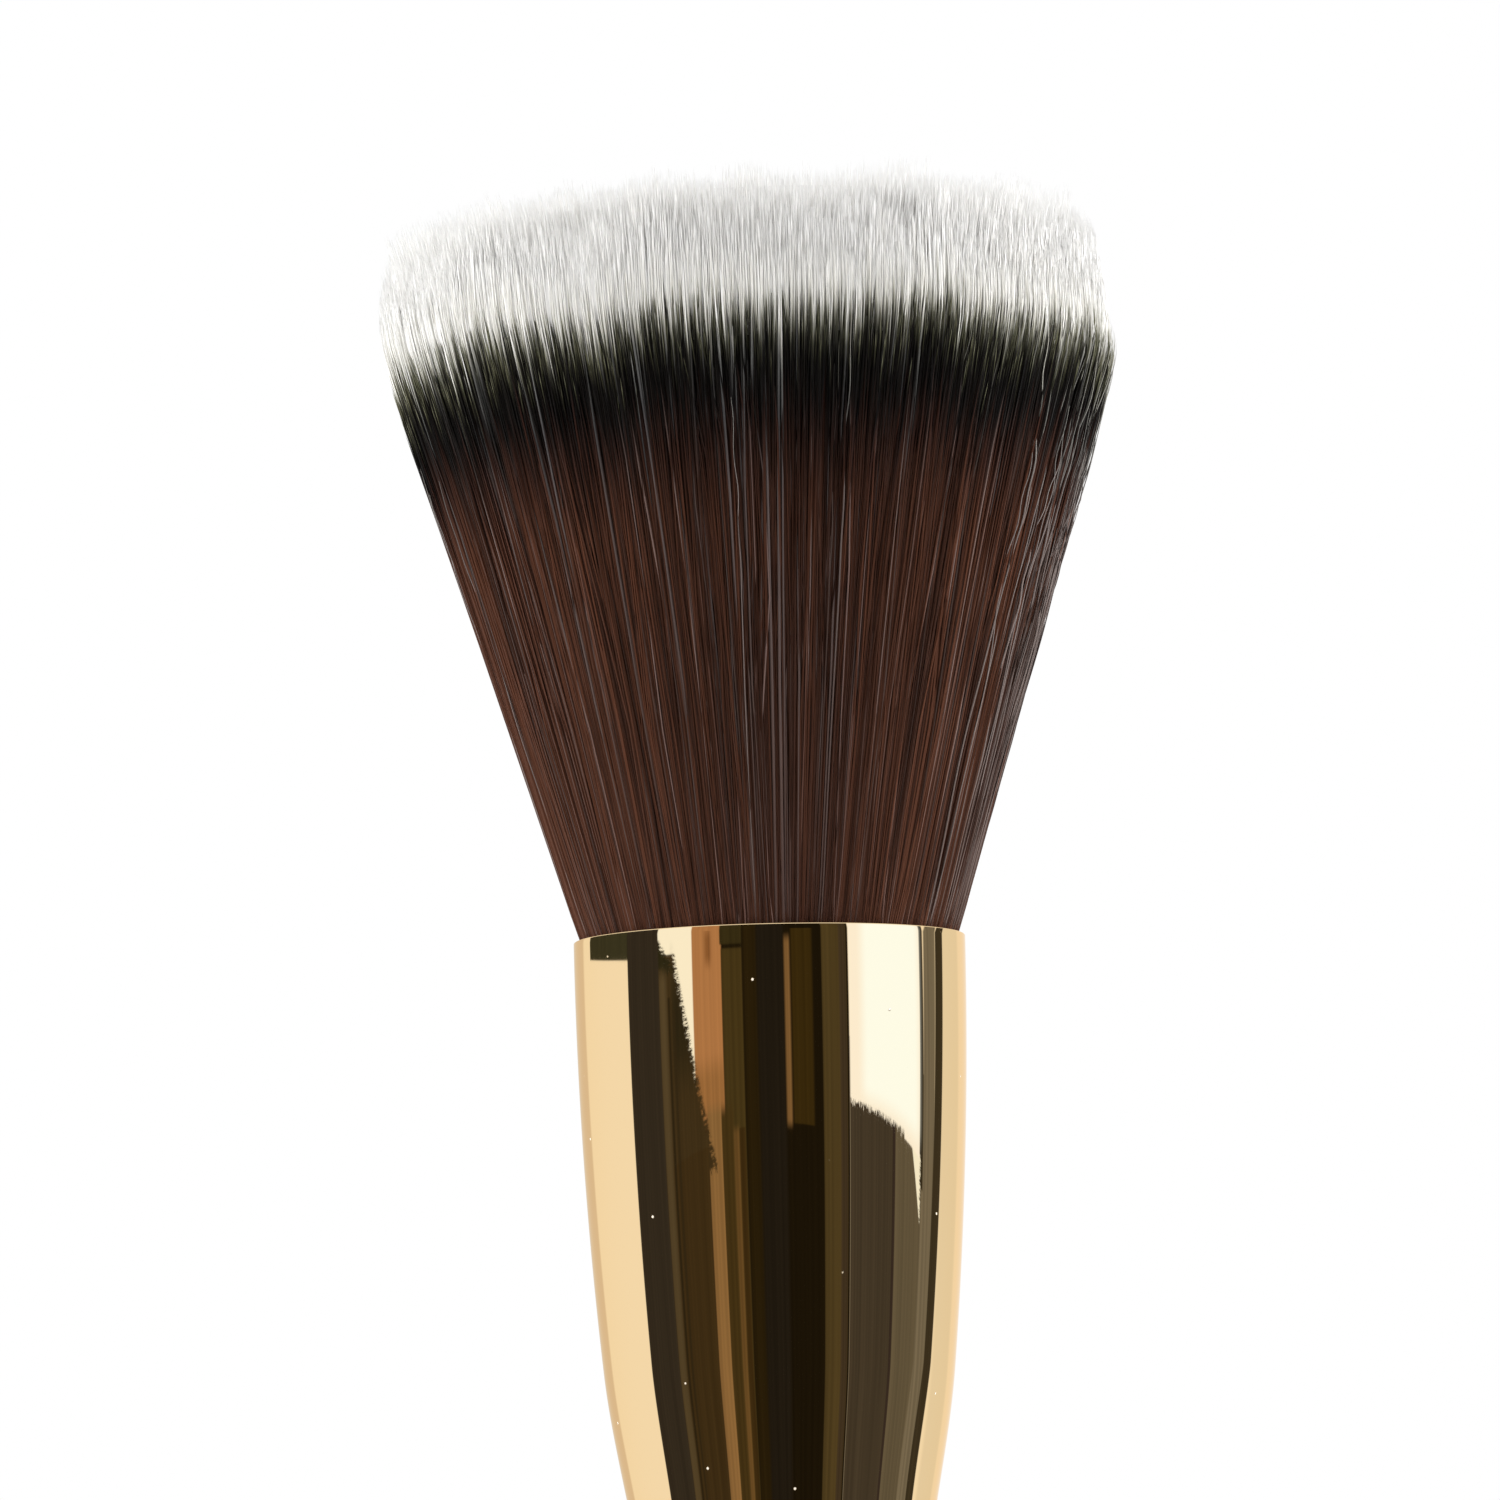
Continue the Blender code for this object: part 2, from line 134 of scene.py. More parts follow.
def turn(name: str, outline: np.ndarray, steps: int, closed: bool) -> bpy.types.Mesh:
    """Turn an outline round the Z axis.

    A point at radius r and height h goes to (r cos a, r sin a, h) for every angle a. An open outline
    starts and ends on the axis, where all angles meet in one point; a closed one joins end to start.

    Args:
        name: the mesh's name.
        outline: radius and height of each point, running down the outer side.
        steps: how many angles go round.
        closed: whether the outline is a loop.

    Returns:
        The turned mesh.
    """
    angles = np.arange(steps) * math.tau / steps
    ring = outline if closed else outline[1:-1]
    points = np.stack(
        [
            ring[:, None, 0] * np.cos(angles),
            ring[:, None, 0] * np.sin(angles),
            np.broadcast_to(ring[:, None, 1], (len(ring), steps)),
        ],
        axis=2,
    ).reshape(-1, 3)
    rows = len(ring) if closed else len(ring) - 1
    row = np.arange(rows)[:, None]
    step = np.arange(steps)[None, :]
    below = (row + 1) % len(ring)
    aside = (step + 1) % steps
    quads = np.stack(
        [row * steps + step, below * steps + step, below * steps + aside, row * steps + aside], axis=2
    ).reshape(-1, 4)
    triangles = np.zeros((0, 3), np.int64)
    if not closed:
        top, bottom = len(points), len(points) + 1
        points = np.vstack([points, [[0, 0, outline[0, 1]], [0, 0, outline[-1, 1]]]])
        step = step.ravel()
        aside = aside.ravel()
        last = (len(ring) - 1) * steps
        cap_above = np.stack([np.full(steps, top), step, aside], axis=1)
        cap_below = np.stack([np.full(steps, bottom), last + aside, last + step], axis=1)
        triangles = np.vstack([cap_above, cap_below])
    return make_mesh(name, points, quads, triangles)


def arc(centre: tuple[float, float], radii: tuple[float, float], start: float, end: float, count: int) -> np.ndarray:
    """Part of an ellipse: the centre plus the radii times the cosine and sine of angles in degrees."""
    angles = np.radians(np.linspace(start, end, count))
    return np.stack([centre[0] + radii[0] * np.cos(angles), centre[1] + radii[1] * np.sin(angles)], axis=1)


# Shader wiring

NUMBER = "NodeSocketFloat"
TINT = "NodeSocketColor"


class Wiring:
    """Short hand for adding nodes to a node tree and joining them."""

    def __init__(self, tree: bpy.types.NodeTree) -> None:
        """Keep the tree that nodes are added to."""
        self.tree = tree

    def add(self, kind: str, settings: dict[str, object] | None = None, **inputs: object) -> bpy.types.Node:
        """Add a node.

        Args:
            kind: the node's type name.
            settings: its properties.
            **inputs: socket name, with _ for a space, or i and a number, to a value or a socket.

        Returns:
            The new node.
        """
        node = self.tree.nodes.new(kind)
        for name, value in (settings or {}).items():
            setattr(node, name, value)
        for name, value in inputs.items():
            numbered = name[0] == "i" and name[1:].isdigit()
            socket = node.inputs[int(name[1:])] if numbered else node.inputs[name.replace("_", " ")]
            self.feed(socket, value)
        return node

    def feed(self, socket: bpy.types.NodeSocket, value: object) -> None:
        """Join a socket to an output, or set its own value.

        Args:
            socket: the input that is fed.
            value: an output to join it to, or its value; a colour of three numbers gets a full alpha.
        """
        if isinstance(value, bpy.types.NodeSocket):
            self.tree.links.new(value, socket)
        elif isinstance(value, tuple) and len(value) == 3 and socket.type == "RGBA":
            socket.default_value = (*value, 1.0)
        else:
            socket.default_value = value

    def math(self, operation: str, *values: object) -> bpy.types.NodeSocket:
        """Result of a Math node on one, two or three values."""
        inputs = {f"i{index}": value for index, value in enumerate(values)}
        return self.add("ShaderNodeMath", {"operation": operation}, **inputs).outputs[0]

    def mix(self, factor: object, first: object, second: object, blend: str = "MIX") -> bpy.types.NodeSocket:
        """Colour between two colours."""
        node = self.add("ShaderNodeMix", {"data_type": "RGBA", "blend_type": blend}, i0=factor, i6=first, i7=second)
        return node.outputs[2]

    def remap(self, value: object, low: object, high: object, to_low: object, to_high: object) -> bpy.types.NodeSocket:
        """Value carried from one range to another along a smooth step."""
        smooth = {"interpolation_type": "SMOOTHSTEP"}
        return self.add("ShaderNodeMapRange", smooth, i0=value, i1=low, i2=high, i3=to_low, i4=to_high).outputs[0]

    def grey(self, value: object) -> bpy.types.NodeSocket:
        """Colour with one value in all three parts."""
        return self.add("ShaderNodeCombineColor", None, Red=value, Green=value, Blue=value).outputs[0]

    def object_place(self) -> bpy.types.NodeSocket:
        """Place on the object, in its own coordinates."""
        return self.add("ShaderNodeTexCoord").outputs["Object"]

    def map_place(self) -> tuple[bpy.types.NodeSocket, bpy.types.NodeSocket]:
        """Both coordinates of the piece's own map."""
        place = self.add("ShaderNodeUVMap", {"uv_map": BAKE_MAP}).outputs[0]
        return tuple(self.add("ShaderNodeSeparateXYZ", None, Vector=place).outputs[:2])

    def bump(self, height: object, depth: float, strength: float, invert: bool = False) -> bpy.types.NodeSocket:
        """Normal of a relief so many metres deep."""
        settings = {"invert": invert}
        return self.add("ShaderNodeBump", settings, Strength=strength, Distance=depth, Height=height).outputs[0]

    def noise(
        self, place: object, scale: float, detail: float = 2.0, stretch: Stretch = (1, 1, 1)
    ) -> bpy.types.NodeSocket:
        """Noise value at a place, with the place stretched along its axes first."""
        spot = self.add("ShaderNodeMapping", None, Vector=place, Scale=stretch).outputs[0]
        return self.add("ShaderNodeTexNoise", None, Vector=spot, Scale=scale, Detail=detail).outputs[0]

    def ramp(self, value: object, stops: Sequence[tuple[float, Colour]]) -> bpy.types.NodeSocket:
        """Colour from a straight ramp.

        Args:
            value: where along the ramp.
            stops: place and colour of each stop.

        Returns:
            The colour output.
        """
        node = self.add("ShaderNodeValToRGB", None, Fac=value)
        ramp = node.color_ramp
        while len(ramp.elements) < len(stops):
            ramp.elements.new(0.5)
        for element, (place, colour) in zip(ramp.elements, stops):
            element.position = place
            element.color = (*colour, 1.0)
        return node.outputs[0]


def start_material(name: str) -> tuple[bpy.types.Material, Wiring, bpy.types.Node]:
    """New node material with its Principled shader.

    Args:
        name: the material's name.

    Returns:
        The material, its wiring and its shader.
    """
    material = bpy.data.materials.new(name)
    material.use_nodes = True
    shader = material.node_tree.nodes["Principled BSDF"]
    return material, Wiring(material.node_tree), shader


def shader_group(
    name: str,
    inputs: Sequence[tuple[str, str, object]],
    outputs: Sequence[tuple[str, str]],
    fill: Callable[[Wiring, bpy.types.Node, bpy.types.Node], None],
) -> bpy.types.NodeTree:
    """Shader node group with named inputs and outputs, built once.

    Args:
        name: the group's name.
        inputs: name, socket type and default of each input.
        outputs: name and socket type of each output.
        fill: puts the nodes between the group's input and output nodes.

    Returns:
        The group.
    """
    if name in bpy.data.node_groups:
        return bpy.data.node_groups[name]
    group = bpy.data.node_groups.new(name, "ShaderNodeTree")
    for label, kind, default in inputs:
        socket = group.interface.new_socket(label, in_out="INPUT", socket_type=kind)
        socket.default_value = (*default, 1.0) if kind == TINT else default
    for label, kind in outputs:
        group.interface.new_socket(label, in_out="OUTPUT", socket_type=kind)
    fill(Wiring(group), group.nodes.new("NodeGroupInput"), group.nodes.new("NodeGroupOutput"))
    return group


def handling_group() -> bpy.types.NodeTree:
    """Group of marks that handling leaves on a gloss surface: smudges, hairline rubs and dust specks.

    Returns:
        The group. Haze is what smudges and rubs take from the gloss, and Speck is 1 on a speck of dust.
    """

    def fill(wiring: Wiring, start: bpy.types.Node, end: bpy.types.Node) -> None:
        """Wire the group's nodes.

        Args:
            wiring: the group's wiring.
            start: its inputs.
            end: its outputs.
        """
        place = wiring.object_place()
        smudge = wiring.noise(place, scale=260.0, detail=4.0)
        smudge = wiring.remap(smudge, 0.45, 0.75, 0.0, 1.0)
        rubs = wiring.noise(place, scale=900.0, detail=3.0, stretch=(1.0, 1.0, 0.06))
        rubs = wiring.remap(rubs, 0.62, 0.74, 0.0, 1.0)
        cells = wiring.add("ShaderNodeTexVoronoi", None, Vector=place, Scale=start.outputs["Speck Scale"])
        near = wiring.remap(cells.outputs["Distance"], 0.018, 0.052, 1.0, 0.0)
        chance = wiring.add("ShaderNodeSeparateColor", None, Color=cells.outputs["Color"]).outputs[0]
        speck = wiring.math("MULTIPLY", near, wiring.math("GREATER_THAN", chance, 0.30))
        speck = wiring.math("MULTIPLY", speck, start.outputs["Dust"])
        haze = wiring.math("MULTIPLY", smudge, start.outputs["Smudge"])
        lines = wiring.math("MULTIPLY", rubs, start.outputs["Rubs"])
        wiring.feed(end.inputs["Haze"], wiring.math("ADD", haze, lines))
        wiring.feed(end.inputs["Speck"], speck)

    inputs = [("Smudge", NUMBER, 0.5), ("Rubs", NUMBER, 0.5), ("Dust", NUMBER, 1.0), ("Speck Scale", NUMBER, 900.0)]
    return shader_group("handling_marks", inputs, [("Haze", NUMBER), ("Speck", NUMBER)], fill)


def handling_marks(wiring: Wiring, **amounts: float) -> bpy.types.Node:
    """Group node of the marks of handling, with its own amounts."""
    return wiring.add("ShaderNodeGroup", {"node_tree": handling_group()}, **amounts)


def shade_group() -> bpy.types.NodeTree:
    """Group that gives each fibre its tone, partly its own and partly painted sheen at the head's sides: its colour
    lightened or darkened, and warmed or cooled.

    Returns:
        The group.
    """

    def fill(wiring: Wiring, start: bpy.types.Node, end: bpy.types.Node) -> None:
        """Wire the group's nodes.

        Args:
            wiring: the group's wiring.
            start: its inputs.
            end: its outputs.
        """
        given = start.outputs
        shade = given["Shade"]
        tone = wiring.add("ShaderNodeMapRange", None, i0=shade, i3=given["Darkest"], i4=given["Lightest"]).outputs[0]
        toned = wiring.mix(1.0, given["Colour"], wiring.grey(tone), "MULTIPLY")
        turn_back = wiring.math("FRACT", wiring.math("MULTIPLY", shade, 7.31))
        warm = wiring.mix(turn_back, WHITE_LIGHT, given["Warmth"])
        wiring.feed(end.inputs["Colour"], wiring.mix(1.0, toned, warm, "MULTIPLY"))

    inputs = [
        ("Shade", NUMBER, 0.5),
        ("Colour", TINT, (0.5, 0.5, 0.5)),
        ("Darkest", NUMBER, 0.7),
        ("Lightest", NUMBER, 1.3),
        ("Warmth", TINT, (1.0, 0.9, 0.8)),
    ]
    return shader_group("fibre_tone", inputs, [("Colour", TINT)], fill)


# Finishes


@dataclass(frozen=True)
class GoldPlate:
    """Polished gold plate: a mirror with a little dust and hairline rubs."""

    colour: Colour = (0.905, 0.68, 0.39)
    dust_colour: Colour = (0.85, 0.80, 0.72)
    edge_tint: Colour = (0.96, 0.86, 0.70)
    roughness: float = 0.012
    haze_roughness: float = 0.016
    dust_roughness: float = 0.5
    dust_height: float = 3.0
    ripple_height: float = 0.003 * MM

    def material(self) -> bpy.types.Material:
        """Build the finish.

        Returns:
            The material.
        """
        material, wiring, shader = start_material("gold_plate")
        marks = handling_marks(wiring, Smudge=0.4, Rubs=0.6, Dust=1.0, Speck_Scale=560.0)
        speck = marks.outputs["Speck"]
        wiring.feed(shader.inputs["Base Color"], wiring.mix(speck, self.colour, self.dust_colour))
        wiring.feed(shader.inputs["Metallic"], wiring.math("SUBTRACT", 1.0, speck))
        haze = wiring.math("MULTIPLY_ADD", marks.outputs["Haze"], self.haze_roughness, self.roughness)
        wiring.feed(shader.inputs["Roughness"], wiring.math("MULTIPLY_ADD", speck, self.dust_roughness, haze))
        shader.inputs["Specular Tint"].default_value = (*self.edge_tint, 1.0)
        ripple = wiring.noise(wiring.object_place(), scale=190.0, detail=1.0, stretch=(1.0, 1.0, 0.35))
        height = wiring.math("MULTIPLY_ADD", speck, self.dust_height, ripple)
        wiring.feed(shader.inputs["Normal"], wiring.bump(height, self.ripple_height, 1.0))
        return material


@dataclass(frozen=True)
class BlackLacquer:
    """Black gloss lacquer over turned wood, with a faint orange peel and dust."""

    colour: Colour = (0.0045, 0.0042, 0.0045)
    grain_colour: Colour = (0.009, 0.007, 0.006)
    dust_colour: Colour = (0.30, 0.29, 0.28)
    roughness: float = 0.10
    haze_roughness: float = 0.08
    dust_height: float = 2.0
    peel_height: float = 0.012 * MM
    coat_roughness: float = 0.03
    coat_index: float = 1.36

    def material(self) -> bpy.types.Material:
        """Build the finish.

        Returns:
            The material.
        """
        material, wiring, shader = start_material("black_lacquer")
        marks = handling_marks(wiring, Smudge=0.6, Rubs=0.5, Dust=0.5, Speck_Scale=420.0)
        haze, speck = marks.outputs["Haze"], marks.outputs["Speck"]
        place = wiring.object_place()
        grain = wiring.noise(place, scale=700.0, detail=4.0, stretch=(1.0, 1.0, 0.05))
        wood = wiring.mix(wiring.remap(grain, 0.4, 0.8, 0.0, 1.0), self.colour, self.grain_colour)
        wiring.feed(shader.inputs["Base Color"], wiring.mix(speck, wood, self.dust_colour))
        wiring.feed(shader.inputs["Roughness"], wiring.math("MULTIPLY_ADD", haze, self.haze_roughness, self.roughness))
        shader.inputs["Specular IOR Level"].default_value = 0.0
        shader.inputs["Coat Weight"].default_value = 1.0
        shader.inputs["Coat IOR"].default_value = self.coat_index
        shader.inputs["Coat Roughness"].default_value = self.coat_roughness
        peel = wiring.noise(place, scale=420.0)
        height = wiring.math("MULTIPLY_ADD", speck, self.dust_height, peel)
        relief = wiring.bump(height, self.peel_height, 0.5)
        wiring.feed(shader.inputs["Normal"], relief)
        wiring.feed(shader.inputs["Coat Normal"], relief)
        return material


@dataclass(frozen=True)
class FibreFinish:
    """Colour along a fibre, from its root at 0 to its tip at 1, and its gloss.

    The palest few of the fibres have their own colours along them.
    """

    name: str
    stops: tuple[tuple[float, Colour], ...]
    pale_stops: tuple[tuple[float, Colour], ...]
    pale_from: float
    darkest: float
    lightest: float
    warmth: Colour
    roughness: float
    specular: float
    gloss_spread: float = 0.12

    def material(self) -> bpy.types.Material:
        """Build the finish on the fibres' own map: across it the fibre's tone, up it the way to the tip.

        Returns:
            The material.
        """
        material, wiring, shader = start_material(self.name)
        shade, way = wiring.map_place()
        plain = wiring.ramp(way, self.stops)
        pale = wiring.ramp(way, self.pale_stops)
        is_pale = wiring.remap(shade, self.pale_from - 0.03, self.pale_from + 0.07, 0.0, 1.0)
        tone = wiring.add(
            "ShaderNodeGroup",
            {"node_tree": shade_group()},
            Shade=shade,
            Colour=wiring.mix(is_pale, plain, pale),
            Darkest=self.darkest,
            Lightest=self.lightest,
            Warmth=self.warmth,
        )
        wiring.feed(shader.inputs["Base Color"], tone.outputs[0])
        smoothest = self.roughness - self.gloss_spread / 2
        wiring.feed(shader.inputs["Roughness"], wiring.math("MULTIPLY_ADD", shade, self.gloss_spread, smoothest))
        shader.inputs["Specular IOR Level"].default_value = self.specular
        return material


@dataclass(frozen=True)
class PackedRoots:
    """Cut ends and flanks of fibres packed together in resin."""

    name: str
    dark: Colour
    light: Colour
    roughness: float = 0.6
    ends_per_metre: float = 7000.0
    drawn_out: Stretch = (1.0, 1.0, 0.02)
    relief: float = 0.03 * MM

    def material(self) -> bpy.types.Material:
        """Build the finish: a cell for each fibre end, drawn out along the brush.

        Returns:
            The material.
        """
        material, wiring, shader = start_material(self.name)
        spot = wiring.add("ShaderNodeMapping", None, Vector=wiring.object_place(), Scale=self.drawn_out).outputs[0]
        cells = wiring.add("ShaderNodeTexVoronoi", None, Vector=spot, Scale=self.ends_per_metre)
        tone = wiring.add("ShaderNodeSeparateColor", None, Color=cells.outputs["Color"]).outputs[1]
        wiring.feed(shader.inputs["Base Color"], wiring.mix(tone, self.dark, self.light))
        shader.inputs["Roughness"].default_value = self.roughness
        wiring.feed(shader.inputs["Normal"], wiring.bump(cells.outputs["Distance"], self.relief, 0.6, invert=True))
        return material


@dataclass(frozen=True)
class CastResin:
    """Set resin or glue with drifting tone and small bubbles."""

    name: str
    dark: Colour
    light: Colour
    roughness: float
    gloss_spread: float = 0.2
    bubbles_per_metre: float = 1500.0
    pit_depth: float = 0.05 * MM

    def material(self) -> bpy.types.Material:
        """Build the finish.

        Returns:
            The material.
        """
        material, wiring, shader = start_material(self.name)
        place = wiring.object_place()
        drift = wiring.noise(place, scale=220.0, detail=4.0)
        wiring.feed(shader.inputs["Base Color"], wiring.mix(drift, self.dark, self.light))
        smoothest = self.roughness - self.gloss_spread / 2
        wiring.feed(shader.inputs["Roughness"], wiring.math("MULTIPLY_ADD", drift, self.gloss_spread, smoothest))
        bubbles = wiring.add("ShaderNodeTexVoronoi", None, Vector=place, Scale=self.bubbles_per_metre)
        pits = wiring.remap(bubbles.outputs["Distance"], 0.1, 0.3, 0.0, 1.0)
        wiring.feed(shader.inputs["Normal"], wiring.bump(pits, self.pit_depth, 0.4))
        return material


@dataclass(frozen=True)
class CottonThread:
    """Waxed cotton: twisted plies along the thread's own map."""

    dark: Colour = (0.46, 0.40, 0.31)
    light: Colour = (0.78, 0.73, 0.62)
    twists: float = 260.0
    plies: float = 3.0
    roughness: float = 0.85
    ply_depth: float = 0.06 * MM

    def material(self) -> bpy.types.Material:
        """Build the finish from waves that climb round the thread as they run along it.

        Returns:
            The material.
        """
        material, wiring, shader = start_material("cotton_thread")
        around, along = wiring.map_place()
        turned = wiring.math("MULTIPLY_ADD", around, self.plies, wiring.math("MULTIPLY", along, self.twists))
        wave = wiring.math("SINE", wiring.math("MULTIPLY", turned, math.tau))
        ply = wiring.math("MULTIPLY_ADD", wave, 0.5, 0.5)
        wiring.feed(shader.inputs["Base Color"], wiring.mix(ply, self.dark, self.light))
        shader.inputs["Roughness"].default_value = self.roughness
        wiring.feed(shader.inputs["Normal"], wiring.bump(ply, self.ply_depth, 0.8))
        return material


@dataclass(frozen=True)
class PaleFloor:
    """Matt pale floor that fades into the white behind it, and where it is mirrored into the room.

    Both fades run between two shares of its radius.
    """

    radius: float
    colour: Colour = (0.92, 0.92, 0.92)
    roughness: float = 0.7
    fade: tuple[float, float] = (0.25, 0.95)
    mirrored_fade: tuple[float, float] = (0.12, 0.50)

    def material(self) -> bpy.types.Material:
        """Build the finish. It takes the brush's shadow, and only what looks at it sees the fades.

        Returns:
            The material.
        """
        material, wiring, shader = start_material("pale_floor")
        shader.inputs["Base Color"].default_value = (*self.colour, 1.0)
        shader.inputs["Roughness"].default_value = self.roughness
        away = wiring.add("ShaderNodeVectorMath", {"operation": "LENGTH"}, i0=wiring.object_place()).outputs["Value"]
        fade, leaving = (
            wiring.remap(away, self.radius * first, self.radius * last, 0.0, 1.0)
            for first, last in (self.fade, self.mirrored_fade)
        )
        white = wiring.add("ShaderNodeEmission", None, Color=WHITE_LIGHT, Strength=1.0)
        paths = wiring.add("ShaderNodeLightPath")
        looked = wiring.math("MAXIMUM", paths.outputs["Is Camera Ray"], paths.outputs["Is Glossy Ray"])
        looked = wiring.math("MAXIMUM", looked, paths.outputs["Is Transmission Ray"])
        share = wiring.math("MULTIPLY", fade, looked)
        blend = wiring.add("ShaderNodeMixShader", None, i0=share, i1=shader.outputs[0], i2=white.outputs[0])
        leaving = wiring.math("MULTIPLY", leaving, paths.outputs["Is Glossy Ray"])
        clear = wiring.add("ShaderNodeBsdfTransparent")
        blend = wiring.add("ShaderNodeMixShader", None, i0=leaving, i1=blend.outputs[0], i2=clear.outputs[0])
        wiring.feed(material.node_tree.nodes["Material Output"].inputs["Surface"], blend.outputs[0])
        return material


BROWN: Colour = (0.0465, 0.0168, 0.0088)
INK: Colour = (0.0048, 0.0040, 0.0036)
OLIVE: Colour = (0.035, 0.0335, 0.0185)
STRAW: Colour = (0.17, 0.165, 0.105)
SNOW: Colour = (0.955, 0.950, 0.940)

DARK_FIBRE = FibreFinish(
    name="dark_fibre",
    stops=(
        (0.0, BROWN),
        (0.68, BROWN),
        (0.80, (0.022, 0.0088, 0.0058)),
        (0.88, INK),
        (0.935, INK),
        (0.967, OLIVE),
        (0.99, STRAW),
        (1.0, (0.22, 0.21, 0.155)),
    ),
    pale_stops=((0.0, (0.080, 0.046, 0.037)), (0.72, (0.085, 0.056, 0.048)), (0.90, INK), (1.0, OLIVE)),
    pale_from=0.90,
    darkest=0.38,
    lightest=2.1,
    warmth=(0.99, 1.02, 1.06),
    roughness=0.52,
    specular=0.09,
)

# Painted shade: up to the dark tips the white fibres are painted the dark fibres' brown and black, and the palest few a
# grey brown, as they look in the shade of the dark fibres round them. From the dark tips their grey rises to white over
# some three and a half millimetres, which is painted shade near the dark tips.
WHITE_FIBRE_PAINTED_SHADE = FibreFinish(
    name="white_fibre",
    stops=(
        (0.00, (0.050, 0.0188, 0.0105)),
        (0.36, (0.050, 0.0188, 0.0105)),
        (0.43, (0.010, 0.0065, 0.0050)),
        (0.475, (0.009, 0.0080, 0.0062)),
        # From here up, painted shade: grey rising to white above the dark tips.
        (0.490, (0.045, 0.043, 0.032)),
        (0.510, (0.20, 0.195, 0.155)),
        (0.530, (0.50, 0.49, 0.43)),
        (0.57, (0.83, 0.82, 0.78)),
        (0.70, SNOW),
    ),
    pale_stops=(
        (0.00, (0.058, 0.031, 0.024)),
        (0.16, (0.080, 0.050, 0.042)),
        (0.36, (0.083, 0.062, 0.058)),
        (0.43, (0.044, 0.042, 0.043)),
        (0.475, (0.10, 0.10, 0.095)),
        (0.51, (0.42, 0.41, 0.37)),
        (0.55, (0.88, 0.87, 0.84)),
        (0.70, SNOW),
    ),
    pale_from=0.90,
    darkest=0.93,
    lightest=1.04,
    warmth=(1.0, 0.99, 0.97),
    roughness=0.5,
    specular=0.2,
)

LOOSE_FIBRE = FibreFinish(
    name="loose_fibre",
    stops=(
        (0.0, BROWN),
        (0.36, (0.070, 0.046, 0.039)),
        (0.43, (0.035, 0.033, 0.031)),
        (0.50, (0.25, 0.24, 0.20)),
        (0.54, SNOW),
    ),
    pale_stops=(
        (0.0, (0.13, 0.09, 0.078)),
        (0.36, (0.19, 0.155, 0.145)),
        (0.43, (0.23, 0.22, 0.205)),
        (0.50, (0.50, 0.48, 0.42)),
        (0.54, SNOW),
    ),
    pale_from=0.55,
    darkest=0.75,
    lightest=1.15,
    warmth=(1.0, 1.0, 0.98),
    roughness=0.5,
    specular=0.2,
)


# The brush


@dataclass
class Ferrule:
    """Spun tube: rolled mouth, parabolic bell, cubic neck and a crimped collar."""

    base: float
    length: float
    mouth_radius: float
    wall: float = 0.40 * MM
    lip_round: float = 0.06 * MM
    bell_depth: float = 22.0 * MM
    bell_radius: float = 8.93 * MM
    neck_depth: float = 36.0 * MM
    collar_radius: float = 7.0 * MM
    groove_width: float = 1.2 * MM
    groove_cut: float = 0.35 * MM
    groove_depths: tuple[float, ...] = (38.1 * MM, 40.1 * MM)
    steps: int = 224
    rows: int = 180

    @property
    def mouth(self) -> float:
        """Height of the mouth's upper edge."""
        return self.base + self.length

    def radius(self, depth: np.ndarray) -> np.ndarray:
        """Outer radius down the tube.

        Down the bell it falls with the square of the depth, down the neck it follows a cubic that
        leaves the bell's slope and reaches the collar level, and each groove takes off a squared cosine.

        Args:
            depth: depths below the mouth.

        Returns:
            The radius at each depth.
        """
        drop = self.mouth_radius - self.bell_radius
        bell = self.mouth_radius - drop * (depth / self.bell_depth) ** 2
        reach = self.neck_depth - self.bell_depth
        share = np.clip((depth - self.bell_depth) / reach, 0, 1)
        start = 2 * share**3 - 3 * share**2 + 1
        slope = (share**3 - 2 * share**2 + share) * (-2 * drop / self.bell_depth * reach)
        neck = start * self.bell_radius + slope + (1 - start) * self.collar_radius
        outer = np.where(depth <= self.bell_depth, bell, neck)
        for centre in self.groove_depths:
            offset = np.clip(np.abs(depth - centre) / self.groove_width, 0, 0.5)
            outer = outer - self.groove_cut * np.cos(math.pi * offset) ** 2
        return outer

    def outline(self) -> np.ndarray:
        """Closed outline of the wall: down the outside, round the lower edge, up the inside, over the mouth.

        Returns:
            Radius and height of each point.
        """
        half, edge = self.wall / 2, self.lip_round
        depths = np.linspace(edge, self.length - half, self.rows)
        outer = np.stack([self.radius(depths), self.mouth - depths], axis=1)
        inside = np.linspace(self.length - half, edge, self.rows // 2)
        inner = np.stack([self.radius(inside) - self.wall, self.mouth - inside], axis=1)
        low = (float(self.radius(depths[-1:])[0]) - half, self.base + half)
        foot = arc(low, (half, half), 0, -180, 9)[1:-1]
        inside_lip = arc((self.mouth_radius - self.wall + edge, self.mouth - edge), (edge, edge), 180, 90, 6)[1:]
        outside_lip = arc((self.mouth_radius - edge, self.mouth - edge), (edge, edge), 90, 0, 6)[:-1]
        return np.vstack([outer, foot, inner, inside_lip, outside_lip])

    def build(self) -> None:
        """Make the plated tube in place of the frame's own."""
        mesh = turn("ferrule_shell", self.outline(), self.steps, closed=True)
        piece = place_piece("ferrule_shell", mesh, GoldPlate().material())
        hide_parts("ferrule")


